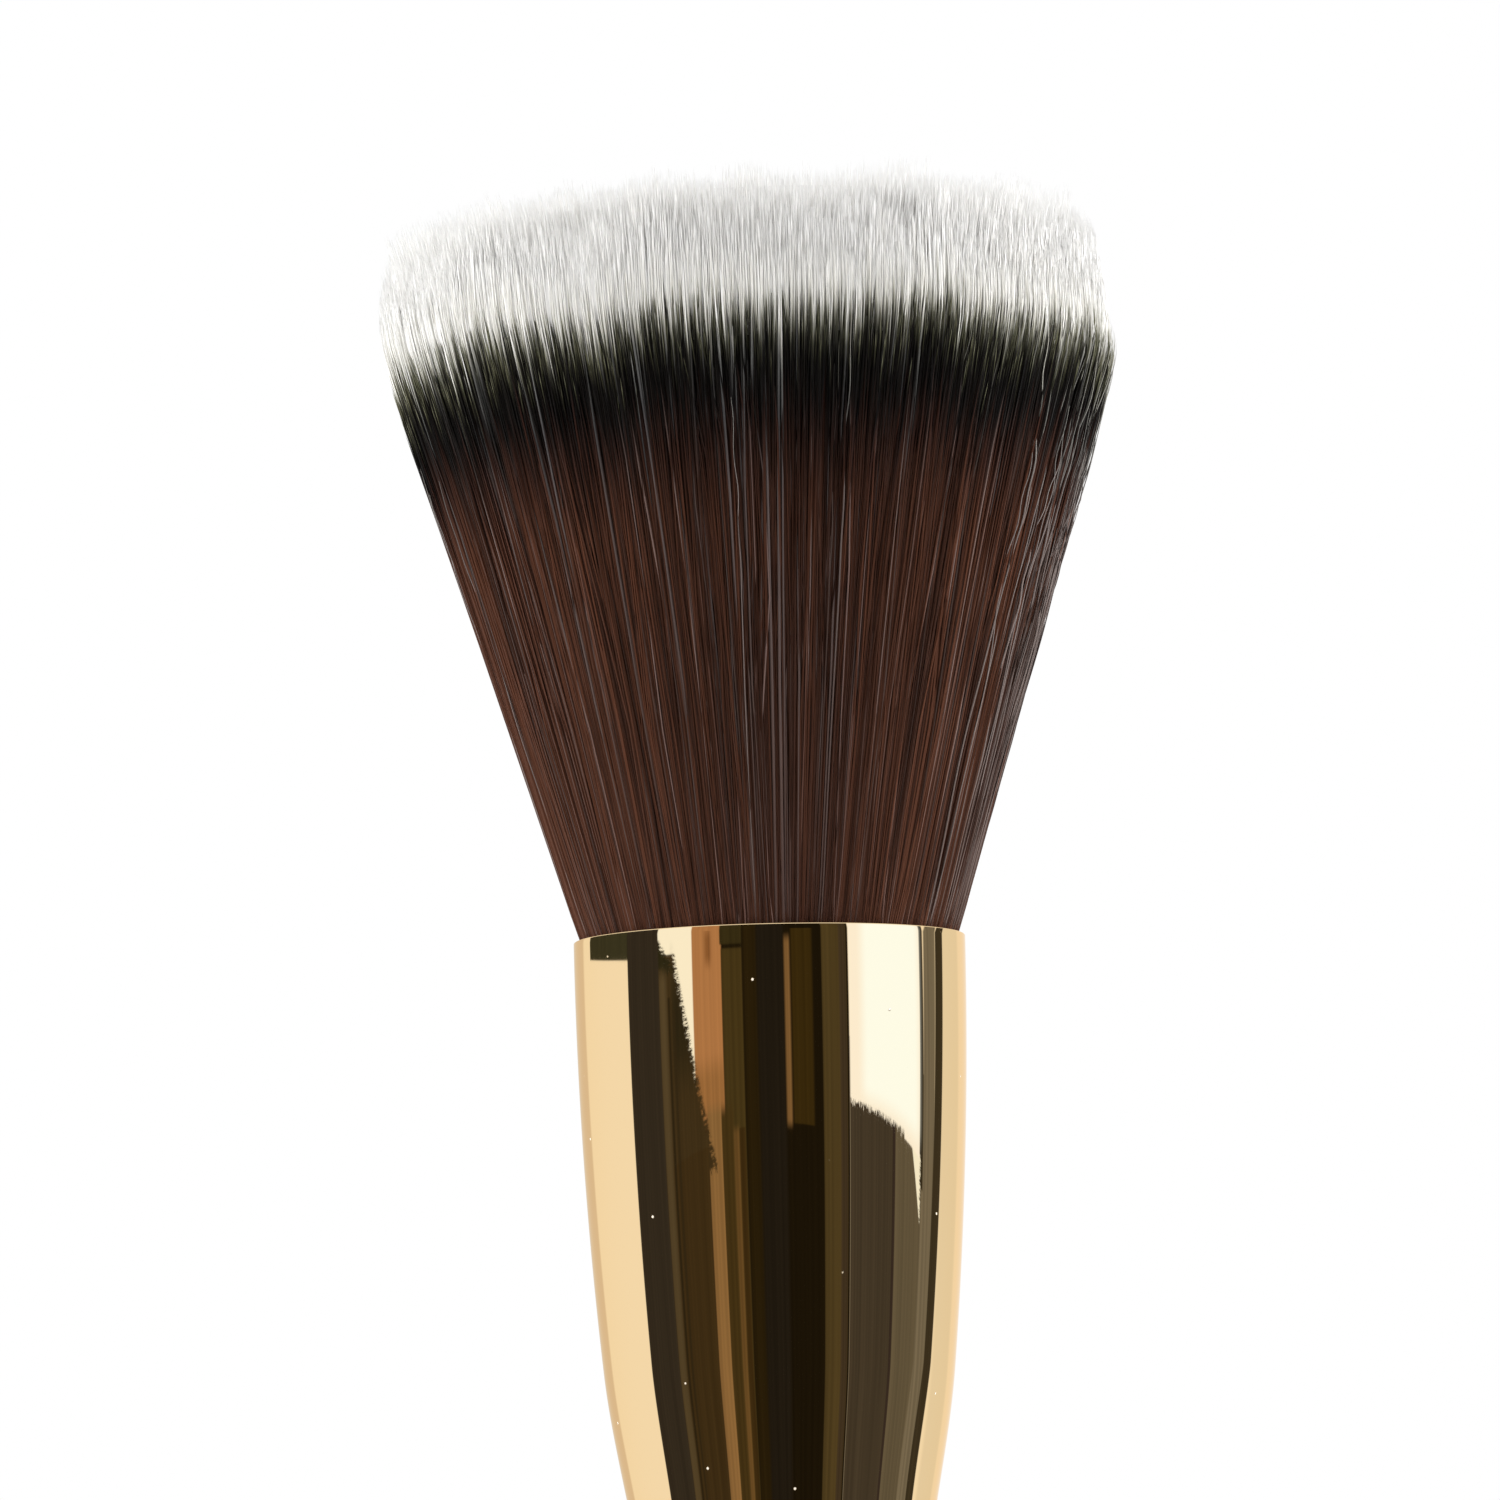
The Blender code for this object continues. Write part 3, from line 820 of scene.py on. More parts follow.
@dataclass
class Handle:
    """Turned handle: tenon, rounded shoulder, belly, long taper and a small flat butt."""

    ferrule: Ferrule
    length: float = 100.0 * MM
    butt_flat: float = 2.5 * MM
    butt_round: float = 4.5 * MM
    tail_radius: float = 3.8 * MM
    belly_radius: float = 7.6 * MM
    belly_height: float = 86.0 * MM
    shoulder_radius: float = 7.2 * MM
    shoulder_round: float = 0.5 * MM
    fit_gap: float = 0.3 * MM
    tenon_chamfer: float = 0.6 * MM
    tenon_rows: int = 90
    upper_rows: int = 24
    lower_rows: int = 90
    steps: int = 160

    def side(self) -> np.ndarray:
        """Outline below the shoulder: two cosine waves that meet level at the belly.

        Returns:
            Radius and height of each point.
        """
        top = self.length - self.shoulder_round
        upper = np.linspace(top, self.belly_height, self.upper_rows)
        rise = (top - upper) / (top - self.belly_height)
        upper_radius = self.wave(self.shoulder_radius, self.belly_radius, rise)
        lower = np.linspace(self.belly_height, self.butt_round, self.lower_rows)[1:]
        fall = (self.belly_height - lower) / (self.belly_height - self.butt_round)
        lower_radius = self.wave(self.belly_radius, self.tail_radius, fall)
        return np.vstack([np.stack([upper_radius, upper], axis=1), np.stack([lower_radius, lower], axis=1)])

    @staticmethod
    def wave(start: float, end: float, share: np.ndarray) -> np.ndarray:
        """Radius that goes from start to end along half a cosine wave."""
        return start + (end - start) * (1 - np.cos(math.pi * share)) / 2

    def outline(self, tenon_top: float) -> np.ndarray:
        """Outline from the tenon's end on the axis down to the butt's centre.

        Args:
            tenon_top: height of the tenon's end.

        Returns:
            Radius and height of each point.
        """
        limit = self.ferrule.collar_radius - self.ferrule.wall - self.fit_gap
        first = self.ferrule.mouth - tenon_top + self.tenon_chamfer
        depths = np.linspace(first, self.ferrule.length + self.fit_gap, self.tenon_rows)
        bore = self.ferrule.radius(depths) - self.ferrule.wall - self.fit_gap
        tenon = np.stack([np.minimum(bore, limit), self.ferrule.mouth - depths], axis=1)
        edge = self.shoulder_round
        shoulder = arc((self.shoulder_radius - edge, self.length - edge), (edge, edge), 90, 0, 8)[:-1]
        width = self.tail_radius - self.butt_flat
        butt = arc((self.butt_flat, self.butt_round), (width, self.butt_round), 0, -90, 18)[1:]
        start = [[0, tenon_top], [limit - self.tenon_chamfer, tenon_top]]
        return np.vstack([start, tenon, shoulder, self.side(), butt, [[0, 0]]])

    def build(self) -> None:
        """Make the lacquered handle in place of the frame's own."""
        tenon_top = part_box("handle")[1].z
        mesh = turn("handle_turning", self.outline(tenon_top), self.steps, closed=False)
        piece = place_piece("handle_turning", mesh, BlackLacquer().material())
        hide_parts("handle")


@dataclass
class Cells:
    """Cuts the round bundle into rings of equal width, and ring k into spokes times (k + 1/2) cells.

    Every cell has its own random length, tone and lean, so that the fibres in it hold together.
    """

    rings: int
    spokes: int
    seed: int

    def gather(self, share: np.ndarray, angle: np.ndarray) -> dict[str, np.ndarray]:
        """Cell of each fibre.

        Args:
            share: shares of the bundle's radius.
            angle: angles round it.

        Returns:
            The share and angle of the cell's middle and its random values, for each fibre.
        """
        source = np.random.default_rng(self.seed)
        ring = np.minimum((share * self.rings).astype(int), self.rings - 1)
        count = np.round(self.spokes * (ring + 0.5))
        offset = source.random(self.rings)[ring]
        cell = np.floor((angle / math.tau + offset) % 1.0 * count)
        number = (ring * self.spokes * self.rings + cell).astype(int)
        values = source.normal(0, 1, (self.rings * self.spokes * self.rings + 1, 4))[number]
        return {
            "share": (ring + 0.5) / self.rings,
            "angle": ((cell + 0.5) / count - offset) * math.tau,
            "length": values[:, 0],
            "tone": values[:, 1],
            "lean": values[:, 2:],
        }


@dataclass(frozen=True)
class Growth:
    """How one kind of fibre grows.

    Attributes:
        count: how many fibres the shell has.
        pieces: how many pieces they are shared out over.
        girth: least and most half thickness.
        tuft_rough: how much tufts differ in length.
        lock_rough: how much the locks in them do.
        own_rough: how much single fibres do.
        short: how far all of them end below their dome.
        pull: share by which a lock draws its tips together.
        hold: power with which that comes in towards the tip.
        tuft_lean: how much tufts lean, as a slope.
        lock_lean: how much locks lean.
        own_lean: how much single fibres lean.
        outside: how far the outermost of them stand off the bundle at mid height.
        pale: share of pale fibres.
        pale_girth: how many times thicker a pale one is below the dark tips.
        taper: share of the thickness at each section.
    """

    count: int
    pieces: int
    girth: tuple[float, float]
    tuft_rough: float
    lock_rough: float
    own_rough: float
    short: float
    pull: float
    hold: float
    tuft_lean: float
    lock_lean: float
    own_lean: float
    outside: float
    pale: float
    pale_girth: float
    taper: tuple[float, ...]


@dataclass
class FibreHead:
    """The flared head: a shell of thousands of fine fibres of two kinds, mixed, in small locks.

    A fibre's place in the bundle is its share of the bundle's radius and its angle. It leaves the
    mouth there, spreads with the flare and ends on its kind's dome, which the trim tilted a little.
    Inside the shell, where no fibre can be seen singly, the bundle is a core with white tips on it.
    Shares are of the bundle's radius, and heights count from the mouth.
    """

    mouth: float
    bore: float
    seed: int = 23
    # Where the shell of dark and of white fibres begins.
    shells: tuple[float, float] = (0.965, 0.984)
    # The core: its shares below and above its seam, and how far it lies under the tips.
    cores: tuple[float, float] = (0.955, 0.996)
    core_drop: float = 0.65 * MM
    core_seam: float = 0.60 * MM
    core_swell: float = 2.4 * MM
    core_foot: float = -1.5 * MM
    core_white: float = 1.0 * MM
    core_steps: int = 144
    # The flare, as a slope, with a quick step over the lip and a lean of the whole head.
    flare: float = 0.3020
    lip_spread: float = 0.06 * MM
    lip_rise: float = 0.7 * MM
    lean_left: float = 0.0073
    # The two domes: height at the rim, rise to the middle, power, tilt and wear at the right.
    dark_tilt: float = 0.055
    white_tilt: float = 0.023
    rim_power: float = 7.5
    dark_edge: float = 29.2 * MM
    dark_rise: float = 1.2 * MM
    dark_slope: float = 1.2 * MM
    dark_power: float = 2.4
    white_edge: float = 32.2 * MM
    white_rise: float = 5.45 * MM
    white_slope: float = 1.1 * MM
    white_power: float = 6.7
    # Where the flare turns upright.
    widest: float = 18.67 * MM
    left_bulge: float = 0.26 * MM
    right_bulge: float = 0.18 * MM
    right_lean: float = 0.13
    right_from: float = 27.0 * MM
    turn_up: float = 0.20 * MM
    # How the fibres hold together.
    locks: Cells = field(default_factory=lambda: Cells(rings=34, spokes=10, seed=5))
    tufts: Cells = field(default_factory=lambda: Cells(rings=10, spokes=6, seed=6))
    # Sections along a fibre, and the rings in which the white tips on the core stand.
    root_stations: tuple[float, ...] = (-0.8 * MM, -0.05 * MM, 1.5 * MM)
    dark_stations: tuple[float, ...] = (0.34, 0.58, 0.80, 0.92, 0.975, 1.0)
    white_stations: tuple[float, ...] = (0.40, 0.72, 0.985)
    white_over: tuple[float, float] = (1.4 * MM, 0.4)
    white_under: tuple[float, float] = (1.0 * MM, 0.3)
    inner_stations: tuple[float, ...] = (-5.0 * MM, -1.0 * MM, 0.0)
    inner_taper: tuple[float, ...] = (1.0, 0.85, 0.20)
    inner_rings: tuple[tuple[float, float, int], ...] = ((0.0, 0.78, 9000), (0.78, 0.984, 16500))
    # How far a white tip stands above the dark ones, and what half the colour map spans above them.
    white_above: float = 0.9 * MM
    white_above_rough: float = 0.3 * MM
    meets_rough: float = 0.55 * MM
    white_reach: float = 9.0 * MM
    map_margin: float = 0.002
    # How single fibres depart from their place.
    seat_shake: float = 0.4
    lean_low: float = 0.4
    stand_off: tuple[float, float, float] = (0.3, 1.8, 2.4)
    sway: float = 0.15 * MM
    tuft_sway: float = 12 * MM
    sway_waves: tuple[float, float] = (1.0, 2.4)
    stray_share: float = 0.010
    stray_lean: float = 3.0
    # Tones, from 0 at the darkest to 1 at the palest.
    tone_middle: float = 0.40
    tuft_tone: float = 0.11
    lock_tone: float = 0.17
    own_tone: float = 0.16
    # Painted sheen: how much paler the fibres at the head's left and right are made, for the side lamps that graze
    # them.
    side_tone: float = 0.48
    plain_tones: tuple[float, float] = (0.02, 0.85)
    pale_tones: tuple[float, float] = (0.89, 0.99)
    # Loose fibres: most stand within a band of angles at the right.
    loose_count: int = 190
    loose_sections: int = 60
    loose_anywhere: float = 0.12
    loose_band: float = 0.27
    loose_tops: tuple[float, float] = (-5.0, 2.5)
    loose_waves: tuple[float, float] = (1.0, 3.5)
    loose_bow: float = 0.40 * MM
    loose_curl: float = 0.11 * MM
    loose_curl_at: tuple[float, float] = (0.8, 0.25)
    loose_wander: float = 0.03
    loose_girth: tuple[float, float] = (0.030, 0.055)
    growths: dict[FibreKind, Growth] = field(
        default_factory=lambda: {
            FibreKind.DARK: Growth(
                count=10500,
                pieces=3,
                girth=(0.046 * MM, 0.062 * MM),
                tuft_rough=0.14 * MM,
                lock_rough=0.25 * MM,
                own_rough=0.85 * MM,
                short=0.0,
                pull=0.30,
                hold=1.6,
                tuft_lean=0.014,
                lock_lean=0.014,
                own_lean=0.014,
                outside=0.075 * MM,
                pale=0.07,
                pale_girth=1.0,
                taper=(1.0, 1.0, 1.0, 1.0, 1.0, 1.0, 0.68, 0.38, 0.10),
            ),
            FibreKind.WHITE: Growth(
                count=4200,
                pieces=1,
                girth=(0.024 * MM, 0.036 * MM),
                tuft_rough=0.36 * MM,
                lock_rough=0.20 * MM,
                own_rough=0.20 * MM,
                short=0.10 * MM,
                pull=0.20,
                hold=6.0,
                tuft_lean=0.003,
                lock_lean=0.003,
                own_lean=0.005,
                outside=0.048 * MM,
                pale=0.135,
                pale_girth=2.3,
                taper=(1.0, 1.0, 1.0, 1.0, 1.0, 1.0, 1.0, 0.85, 0.20),
            ),
        }
    )

    @staticmethod
    def dome(share: np.ndarray, power: float) -> np.ndarray:
        """Height share of a dome over the bundle: the root of one less the share to a power."""
        return np.sqrt(np.clip(1 - np.clip(share, 0, 1) ** power, 0, 1))

    def held(self, radius: np.ndarray, angle: np.ndarray, height: np.ndarray) -> np.ndarray:
        """Radius that turns upright, softly, where the flare would pass the head's widest at that angle.

        The widest is more at the left and the right, and less and less above the dark tips at the right.

        Args:
            radius: radii before the turn.
            angle: angles.
            height: heights above the mouth.

        Returns:
            The radii after it.
        """
        left, right = (np.maximum(side * np.cos(angle), 0) ** 2 for side in (-1, 1))
        widest = self.widest + self.left_bulge * left + self.right_bulge * right
        widest = widest - self.right_lean * right * np.maximum(height - self.right_from, 0)
        return radius - self.turn_up * np.log1p(np.exp((radius - widest) / self.turn_up))

    def spread(self, share: np.ndarray, height: np.ndarray) -> np.ndarray:
        """Radius of a fibre at a height above the mouth.

        Its seat's radius, plus its share of the flare, plus a quick step outwards over the lip.

        Args:
            share: shares of radius.
            height: heights above the mouth.

        Returns:
            The radii.
        """
        up = np.maximum(height, 0)
        step = self.lip_spread * (1 - np.exp(-up / self.lip_rise))
        return share * (self.bore + self.flare * up + step)

    def tops(self, kind: FibreKind, share: np.ndarray, angle: np.ndarray, rough: np.ndarray) -> np.ndarray:
        """Height above the mouth at which each fibre ends.

        Its kind's dome, tilted with the distance to the right and worn down at the right of the rim,
        plus its own roughness.

        Args:
            kind: the kind whose dome is meant.
            share: shares of radius.
            angle: angles.
            rough: what each fibre stands above or below the dome.

        Returns:
            The heights.
        """
        right = share * np.cos(angle) * self.widest
        rim = share**self.rim_power * np.maximum(np.cos(angle), 0) ** 2
        if kind is FibreKind.DARK:
            top = self.dark_edge + self.dark_rise * self.dome(share, self.dark_power)
            return top + self.dark_tilt * right - self.dark_slope * rim + rough
        top = self.white_edge + self.white_rise * self.dome(share, self.white_power)
        return top + self.white_tilt * right - self.white_slope * rim + rough

    def seats(
        self, count: int, inner: float, outer: float, source: np.random.Generator
    ) -> tuple[np.ndarray, np.ndarray]:
        """Share of radius and angle of fibres spread evenly over a ring of the bundle.

        The seats follow a sunflower: the square of the share runs evenly from the inner to the outer
        square, and the angle is the seat's number of golden angles, each shaken by part of a seat.

        Args:
            count: how many seats.
            inner: share at the ring's inner side.
            outer: share at its outer side.
            source: source of the shakes.

        Returns:
            Shares and angles.
        """
        number = np.arange(count) + 0.5
        share = np.sqrt(inner**2 + (outer**2 - inner**2) * number / count)
        angle = GOLDEN_ANGLE * number + source.uniform(0, math.tau)
        shake = self.seat_shake * math.sqrt((outer**2 - inner**2) / count)
        x = share * np.cos(angle) + source.normal(0, shake, count)
        y = share * np.sin(angle) + source.normal(0, shake, count)
        share = np.hypot(x, y)
        return np.where(share > 1, 2 - share, share), np.arctan2(y, x)

    def stations(self, kind: FibreKind, meets: np.ndarray, top: np.ndarray) -> np.ndarray:
        """Height above the mouth of each fibre's sections.

        The first few sit about the mouth. Then a dark fibre has them at shares of its height, and a
        white one at shares of the dark tips' height, a little above these, a little below its own tip,
        and at its tip.

        Args:
            kind: which fibres.
            meets: height of the dark tips beside each fibre, one row each.
            top: height of each fibre's own tip, one row each.

        Returns:
            The heights, one row for each fibre.
        """
        roots = np.broadcast_to(np.array([self.root_stations]), (len(top), len(self.root_stations)))
        if kind is FibreKind.DARK:
            return np.hstack([roots, top * np.array([self.dark_stations])])
        lower = np.hstack([roots, meets * np.array([self.white_stations])])
        above = top - meets
        over = meets + np.minimum(self.white_over[0], self.white_over[1] * above)
        under = top - np.minimum(self.white_under[0], self.white_under[1] * above)
        return np.hstack([lower, over, under, top])

    def fibres(
        self, kind: FibreKind, share: np.ndarray, angle: np.ndarray, source: np.random.Generator, whole: bool
    ) -> tuple[np.ndarray, np.ndarray]:
        """Points and map places of fibres of one kind.

        Each section is a triangle round the fibre's line. The line runs from the fibre's seat along
        the flare, drawn towards its lock's line near the tip. It leans with its tuft, its lock and by
        itself, more the higher it is, and sways in a sine wave. Kept within the bundle's own radius at
        that height, it then stands off it by its own amount, which grows with the share of its height
        and with the fifth power of that share.

        Args:
            kind: which fibres.
            share: shares of radius.
            angle: angles.
            source: source of each fibre's own length, lean and tone.
            whole: whether the fibres start at their roots, or just below their tips.

        Returns:
            Section corners and tip of each fibre, and the map place of each.
        """
        growth = self.growths[kind]
        count = len(share)
        lock = self.locks.gather(share, angle)
        tuft = self.tufts.gather(share, angle)
        own = source.normal(0, 1, count)
        dark = self.growths[FibreKind.DARK]
        ragged = dark.tuft_rough * tuft["length"] + dark.lock_rough * lock["length"]
        meets = self.tops(FibreKind.DARK, share, angle, ragged + self.meets_rough * own)[:, None]
        rough = growth.tuft_rough * tuft["length"] + growth.lock_rough * lock["length"] - growth.short
        spare = own if kind is FibreKind.DARK else -np.abs(own)
        top = self.tops(kind, share, angle, rough + growth.own_rough * spare)[:, None]
        if kind is FibreKind.WHITE:
            top = np.maximum(top, meets + self.white_above + self.white_above_rough * spare[:, None])
        height = self.stations(kind, meets, top) if whole else top + np.array([self.inner_stations])
        taper = np.array([growth.taper if whole else self.inner_taper])
        rise = np.clip(height / top, 0, 1)
        drawn = growth.pull * rise**growth.hold
        seat = self.spread(share[:, None], height)
        core = self.spread(lock["share"][:, None], height)
        stray = np.where(source.random(count) < self.stray_share, self.stray_lean, 1.0)[:, None]
        lean = growth.tuft_lean * tuft["lean"] + growth.lock_lean * lock["lean"]
        lean = lean + growth.own_lean * stray * source.normal(0, 1, (count, 2))
        sway = source.normal(0, self.sway, (count, 2)) + self.tuft_sway * growth.tuft_lean * tuft["lean"]
        up = np.maximum(height, 0)
        wave = np.sin(math.pi * source.uniform(*self.sway_waves, (count, 1)) * rise)
        bend = self.lean_low + (1 - self.lean_low) * rise
        middle = []
        for axis, turned in enumerate((np.cos, np.sin)):
            line = seat * turned(angle)[:, None] * (1 - drawn) + core * turned(lock["angle"])[:, None] * drawn
            middle.append(line + lean[:, axis, None] * up * bend + sway[:, axis, None] * wave)
        x, y = middle
        low, grows, tip = self.stand_off
        outside = source.uniform(0.0, growth.outside, (count, 1)) * (low + grows * rise + tip * rise**5)
        reached = np.maximum(np.hypot(x, y), 1e-9)
        held = (self.held(np.minimum(reached, seat), angle[:, None], height) + outside) / reached
        tone = self.tone_middle + self.tuft_tone * tuft["tone"] + self.lock_tone * lock["tone"]
        # The squared cosine of the angle paints sheen on the fibres at the head's left and right.
        tone = tone + self.own_tone * source.normal(0, 1, count) + self.side_tone * np.cos(angle) ** 2
        is_pale = source.random(count) < growth.pale
        tone = np.where(is_pale, source.uniform(*self.pale_tones, count), np.clip(tone, *self.plain_tones))
        girth = source.uniform(*growth.girth, count)[:, None] * taper
        girth = girth * np.where(is_pale[:, None] & (height < meets), growth.pale_girth, 1.0)
        return self.sheathe((x * held, y * held, height), girth, tone, self.way(kind, height, meets, top), source)

    def way(self, kind: FibreKind, height: np.ndarray, meets: np.ndarray, top: np.ndarray) -> np.ndarray:
        """Place up the colour map of each section.

        A dark fibre runs from 0 to 1 with its height. A white one is halfway at the dark tips beside
        it, and runs on above them at so much for each millimetre.

        Args:
            kind: which fibres.
            height: heights above the mouth, one row for each fibre.
            meets: height of the dark tips beside each fibre.
            top: height of each fibre's own tip.

        Returns:
            The places, one row for each fibre.
        """
        if kind is FibreKind.DARK:
            return height / top
        return np.where(height < meets, 0.5 * height / meets, 0.5 + 0.5 * (height - meets) / self.white_reach)

    def sheathe(
        self,
        line: tuple[np.ndarray, np.ndarray, np.ndarray],
        girth: np.ndarray,
        tone: np.ndarray,
        way: np.ndarray,
        source: np.random.Generator,
    ) -> tuple[np.ndarray, np.ndarray]:
        """Put three sides round the lines of fibres, which lean to the left as the whole head does.

        Args:
            line: x, y and height above the mouth of each section, one row for each fibre.
            girth: half the thickness of each section.
            tone: tone of each fibre.
            way: place up the colour map of each section.
            source: source of each fibre's turn.

        Returns:
            Section corners and tip of each fibre, and the map place of each.
        """
        x, y, height = line
        x = x - self.lean_left * np.maximum(height, 0)
        count = len(x)
        facing = source.uniform(0, math.tau, count)[:, None, None] + np.arange(3) * math.tau / 3
        reach = girth[:, :, None]
        level = np.broadcast_to((height + self.mouth)[:, :, None], (*height.shape, 3))
        around = (x[:, :, None] + reach * np.cos(facing), y[:, :, None] + reach * np.sin(facing))
        corners = np.stack([*around, level], axis=3)
        body = corners[:, :-1].reshape(count, -1, 3)
        tip = corners[:, -1].mean(axis=1, keepdims=True)
        way = np.concatenate([np.repeat(way[:, :-1], 3, axis=1), way[:, -1:]], axis=1)
        margin = self.map_margin
        places = np.stack([np.broadcast_to(tone[:, None], way.shape), np.clip(way, margin, 1 - margin)], axis=2)
        return np.concatenate([body, tip], axis=1), places

    def loose_fibres(self, source: np.random.Generator) -> tuple[np.ndarray, np.ndarray]:
        """Points and map places of the few fibres that stand off the rim in slow waves.

        A wave is a squared sine of the height with its own length and start, which grows with the
        height. The fibre also wanders a little round the rim, and curls near its upper end.

        Args:
            source: source of the waves.

        Returns:
            Section corners and tip of each fibre, and the map place of each.
        """
        each = (self.loose_count, 1)
        anywhere = source.random(each) < self.loose_anywhere
        angle = np.where(anywhere, source.uniform(0, math.tau, each), source.normal(0, self.loose_band, each))
        meets = self.tops(FibreKind.DARK, np.ones(each), angle, 0.0)
        top = meets + source.uniform(*self.loose_tops, each) * MM
        rise = np.linspace(0, 1, self.loose_sections)
        waves, start = source.uniform(*self.loose_waves, each), source.uniform(0, math.tau, each)
        bow = self.loose_bow * source.uniform(0.1, 1.0, each) * np.sin(math.pi * waves * rise + start) ** 2 * rise
        curl = self.loose_curl * source.uniform(0.2, 1.0, each) * np.sin(6.0 * math.pi * waves * rise + start)
        curl = curl * np.clip(1 - np.abs(rise - self.loose_curl_at[0]) / self.loose_curl_at[1], 0, 1)
        height = top * rise
        radius = self.held(self.spread(1.0, height), angle, height) + bow + curl
        wander = self.loose_wander * source.normal(0, 1, each) * np.sin(2 * waves * rise + start)
        angle = angle + (wander + curl / self.widest) * rise
        girth = source.uniform(*self.loose_girth, each) * MM * np.clip(3.0 - 2.8 * rise, 0.2, 1.0)
        line = (radius * np.cos(angle), radius * np.sin(angle), height)
        way = self.way(FibreKind.WHITE, height, meets, top)
        return self.sheathe(line, girth, source.random(self.loose_count), way, source)

    def place_fibres(
        self, name: str, kind: FibreKind, pieces: int, made: tuple[np.ndarray, np.ndarray], material: bpy.types.Material
    ) -> None:
        """Share fibres out over a few pieces.

        Args:
            name: start of the pieces' names.
            kind: which fibres.
            pieces: how many pieces.
            made: points and map places of the fibres.
            material: their material.
        """
        points, places = made
        node = "short_dark_fibres" if kind is FibreKind.DARK else "long_white_fibres"
        order = np.random.default_rng(self.seed).permutation(len(points))
        for number, part in enumerate(np.array_split(order, pieces), 1):
            mesh = self.fibre_mesh(f"{name}_{number}", points[part], places[part])
            piece = place_piece(f"{name}_{number}", mesh, material)
            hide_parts(node)

    def place_core(
        self, name: str, outline: Sequence[tuple[float, float]], finish: PackedRoots, node: str
    ) -> None:
        """Turn one part of the core and give it the heights and the flare of the fibres round it.

        It swells from its narrow to its wide share of the head above the seam of its parts.

        Args:
            name: the piece's name.
            outline: share of the core's radius and level of each point. Level 0 is the core's foot, 1 lies a
                little under the dark tips and 2 a little under the white ones.
            finish: its finish.
            node: the frame's node that it stands for.
        """
        mesh = turn(name, np.array(outline), self.core_steps, closed=False)
        points = np.zeros(len(mesh.vertices) * 3, np.float32)
        mesh.vertices.foreach_get("co", points)
        x, y, level = points.reshape(-1, 3).T
        share, angle = np.hypot(x, y), np.arctan2(y, x)
        seam = self.tops(FibreKind.DARK, share, angle, -self.core_seam)
        crown = np.maximum(self.tops(FibreKind.WHITE, share, angle, -self.core_drop), seam + self.core_white)
        below = self.core_foot + (seam - self.core_foot) * np.minimum(level, 1)
        height = below + (crown - seam) * np.maximum(level - 1, 0)
        narrow, wide = self.cores
        swell = 0.5 - 0.5 * np.cos(math.pi * np.clip((height - seam) / self.core_swell, 0, 1))
        radius = share * (narrow + (wide - narrow) * swell) * self.held(self.spread(1.0, height), angle, height)
        x = radius * np.cos(angle) - self.lean_left * np.maximum(height, 0)
        points = np.stack([x, radius * np.sin(angle), height + self.mouth], axis=1)
        mesh.vertices.foreach_set("co", points.ravel())
        mesh.update()
        piece = place_piece(name, mesh, finish.material())
        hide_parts(node)

    def build_core(self) -> None:
        """Make the core in two parts that meet under the dark tips."""
        across = np.sin(np.linspace(0, math.pi / 2, 40))
        up = np.linspace(0, 1, 24)
        seam = [(share, 1.0) for share in across]
        dark = seam + [(1.0, level) for level in up[-2::-1]] + [(0, 0.0)]
        white = [(share, 2.0) for share in across] + [(1.0, 1 + level) for level in up[-2:0:-1]] + seam[::-1]
        finish = PackedRoots("dark_core", (0.003, 0.002, 0.0015), (0.020, 0.009, 0.006))
        self.place_core("dark_core", dark, finish, "short_dark_fibres")
        finish = PackedRoots("white_core", (0.70, 0.692, 0.680), (0.80, 0.792, 0.777))
        self.place_core("white_core", white, finish, "long_white_fibres")

    @staticmethod
    def fibre_mesh(name: str, points: np.ndarray, places: np.ndarray) -> bpy.types.Mesh:
        """Mesh of many three-sided fibres that end in a point.

        Args:
            name: the mesh's name.
            points: corners of each fibre, three for each section and one for the tip.
            places: map place of each corner.

        Returns:
            The mesh.
        """
        count, size, _ = points.shape
        rings = (size - 1) // 3
        ring = np.arange(rings - 1)[:, None] * 3
        side = np.arange(3)[None, :]
        aside = (side + 1) % 3
        quads = np.stack([ring + side, ring + aside, ring + 3 + aside, ring + 3 + side], axis=2).reshape(-1, 4)
        last = (rings - 1) * 3
        tips = np.stack([last + side[0], last + aside[0], np.full(3, size - 1)], axis=1)
        ends = np.vstack([tips, [[2, 1, 0]]])
        start = (np.arange(count) * size)[:, None, None]
        quads, triangles = (quads[None] + start).reshape(-1, 4), (ends[None] + start).reshape(-1, 3)
        mesh = make_mesh(name, points.reshape(-1, 3), quads, triangles)
        set_bake_map(mesh, places.reshape(-1, 2))
        return mesh

    def build(self) -> None:
        """Make the core, the shell of both kinds of fibre, and the white tips on the core."""
        materials = {FibreKind.DARK: DARK_FIBRE.material(), FibreKind.WHITE: WHITE_FIBRE_PAINTED_SHADE.material()}
        self.build_core()
        for kind, growth in self.growths.items():
            source = np.random.default_rng(self.seed + growth.count)
            share, angle = self.seats(growth.count, self.shells[kind is FibreKind.WHITE], 1.0, source)
            made = self.fibres(kind, share, angle, source, whole=True)
            self.place_fibres(f"{kind.value}_fibres", kind, growth.pieces, made, materials[kind])
        source = np.random.default_rng(self.seed)
        seats = [self.seats(count, inner, outer, source) for inner, outer, count in self.inner_rings]
        share, angle = (np.concatenate(parts) for parts in zip(*seats))
        made = self.fibres(FibreKind.WHITE, share, angle, source, whole=False)
        self.place_fibres("white_tips", FibreKind.WHITE, 2, made, materials[FibreKind.WHITE])
        self.place_fibres("loose_fibres", FibreKind.WHITE, 1, self.loose_fibres(source), LOOSE_FIBRE.material())


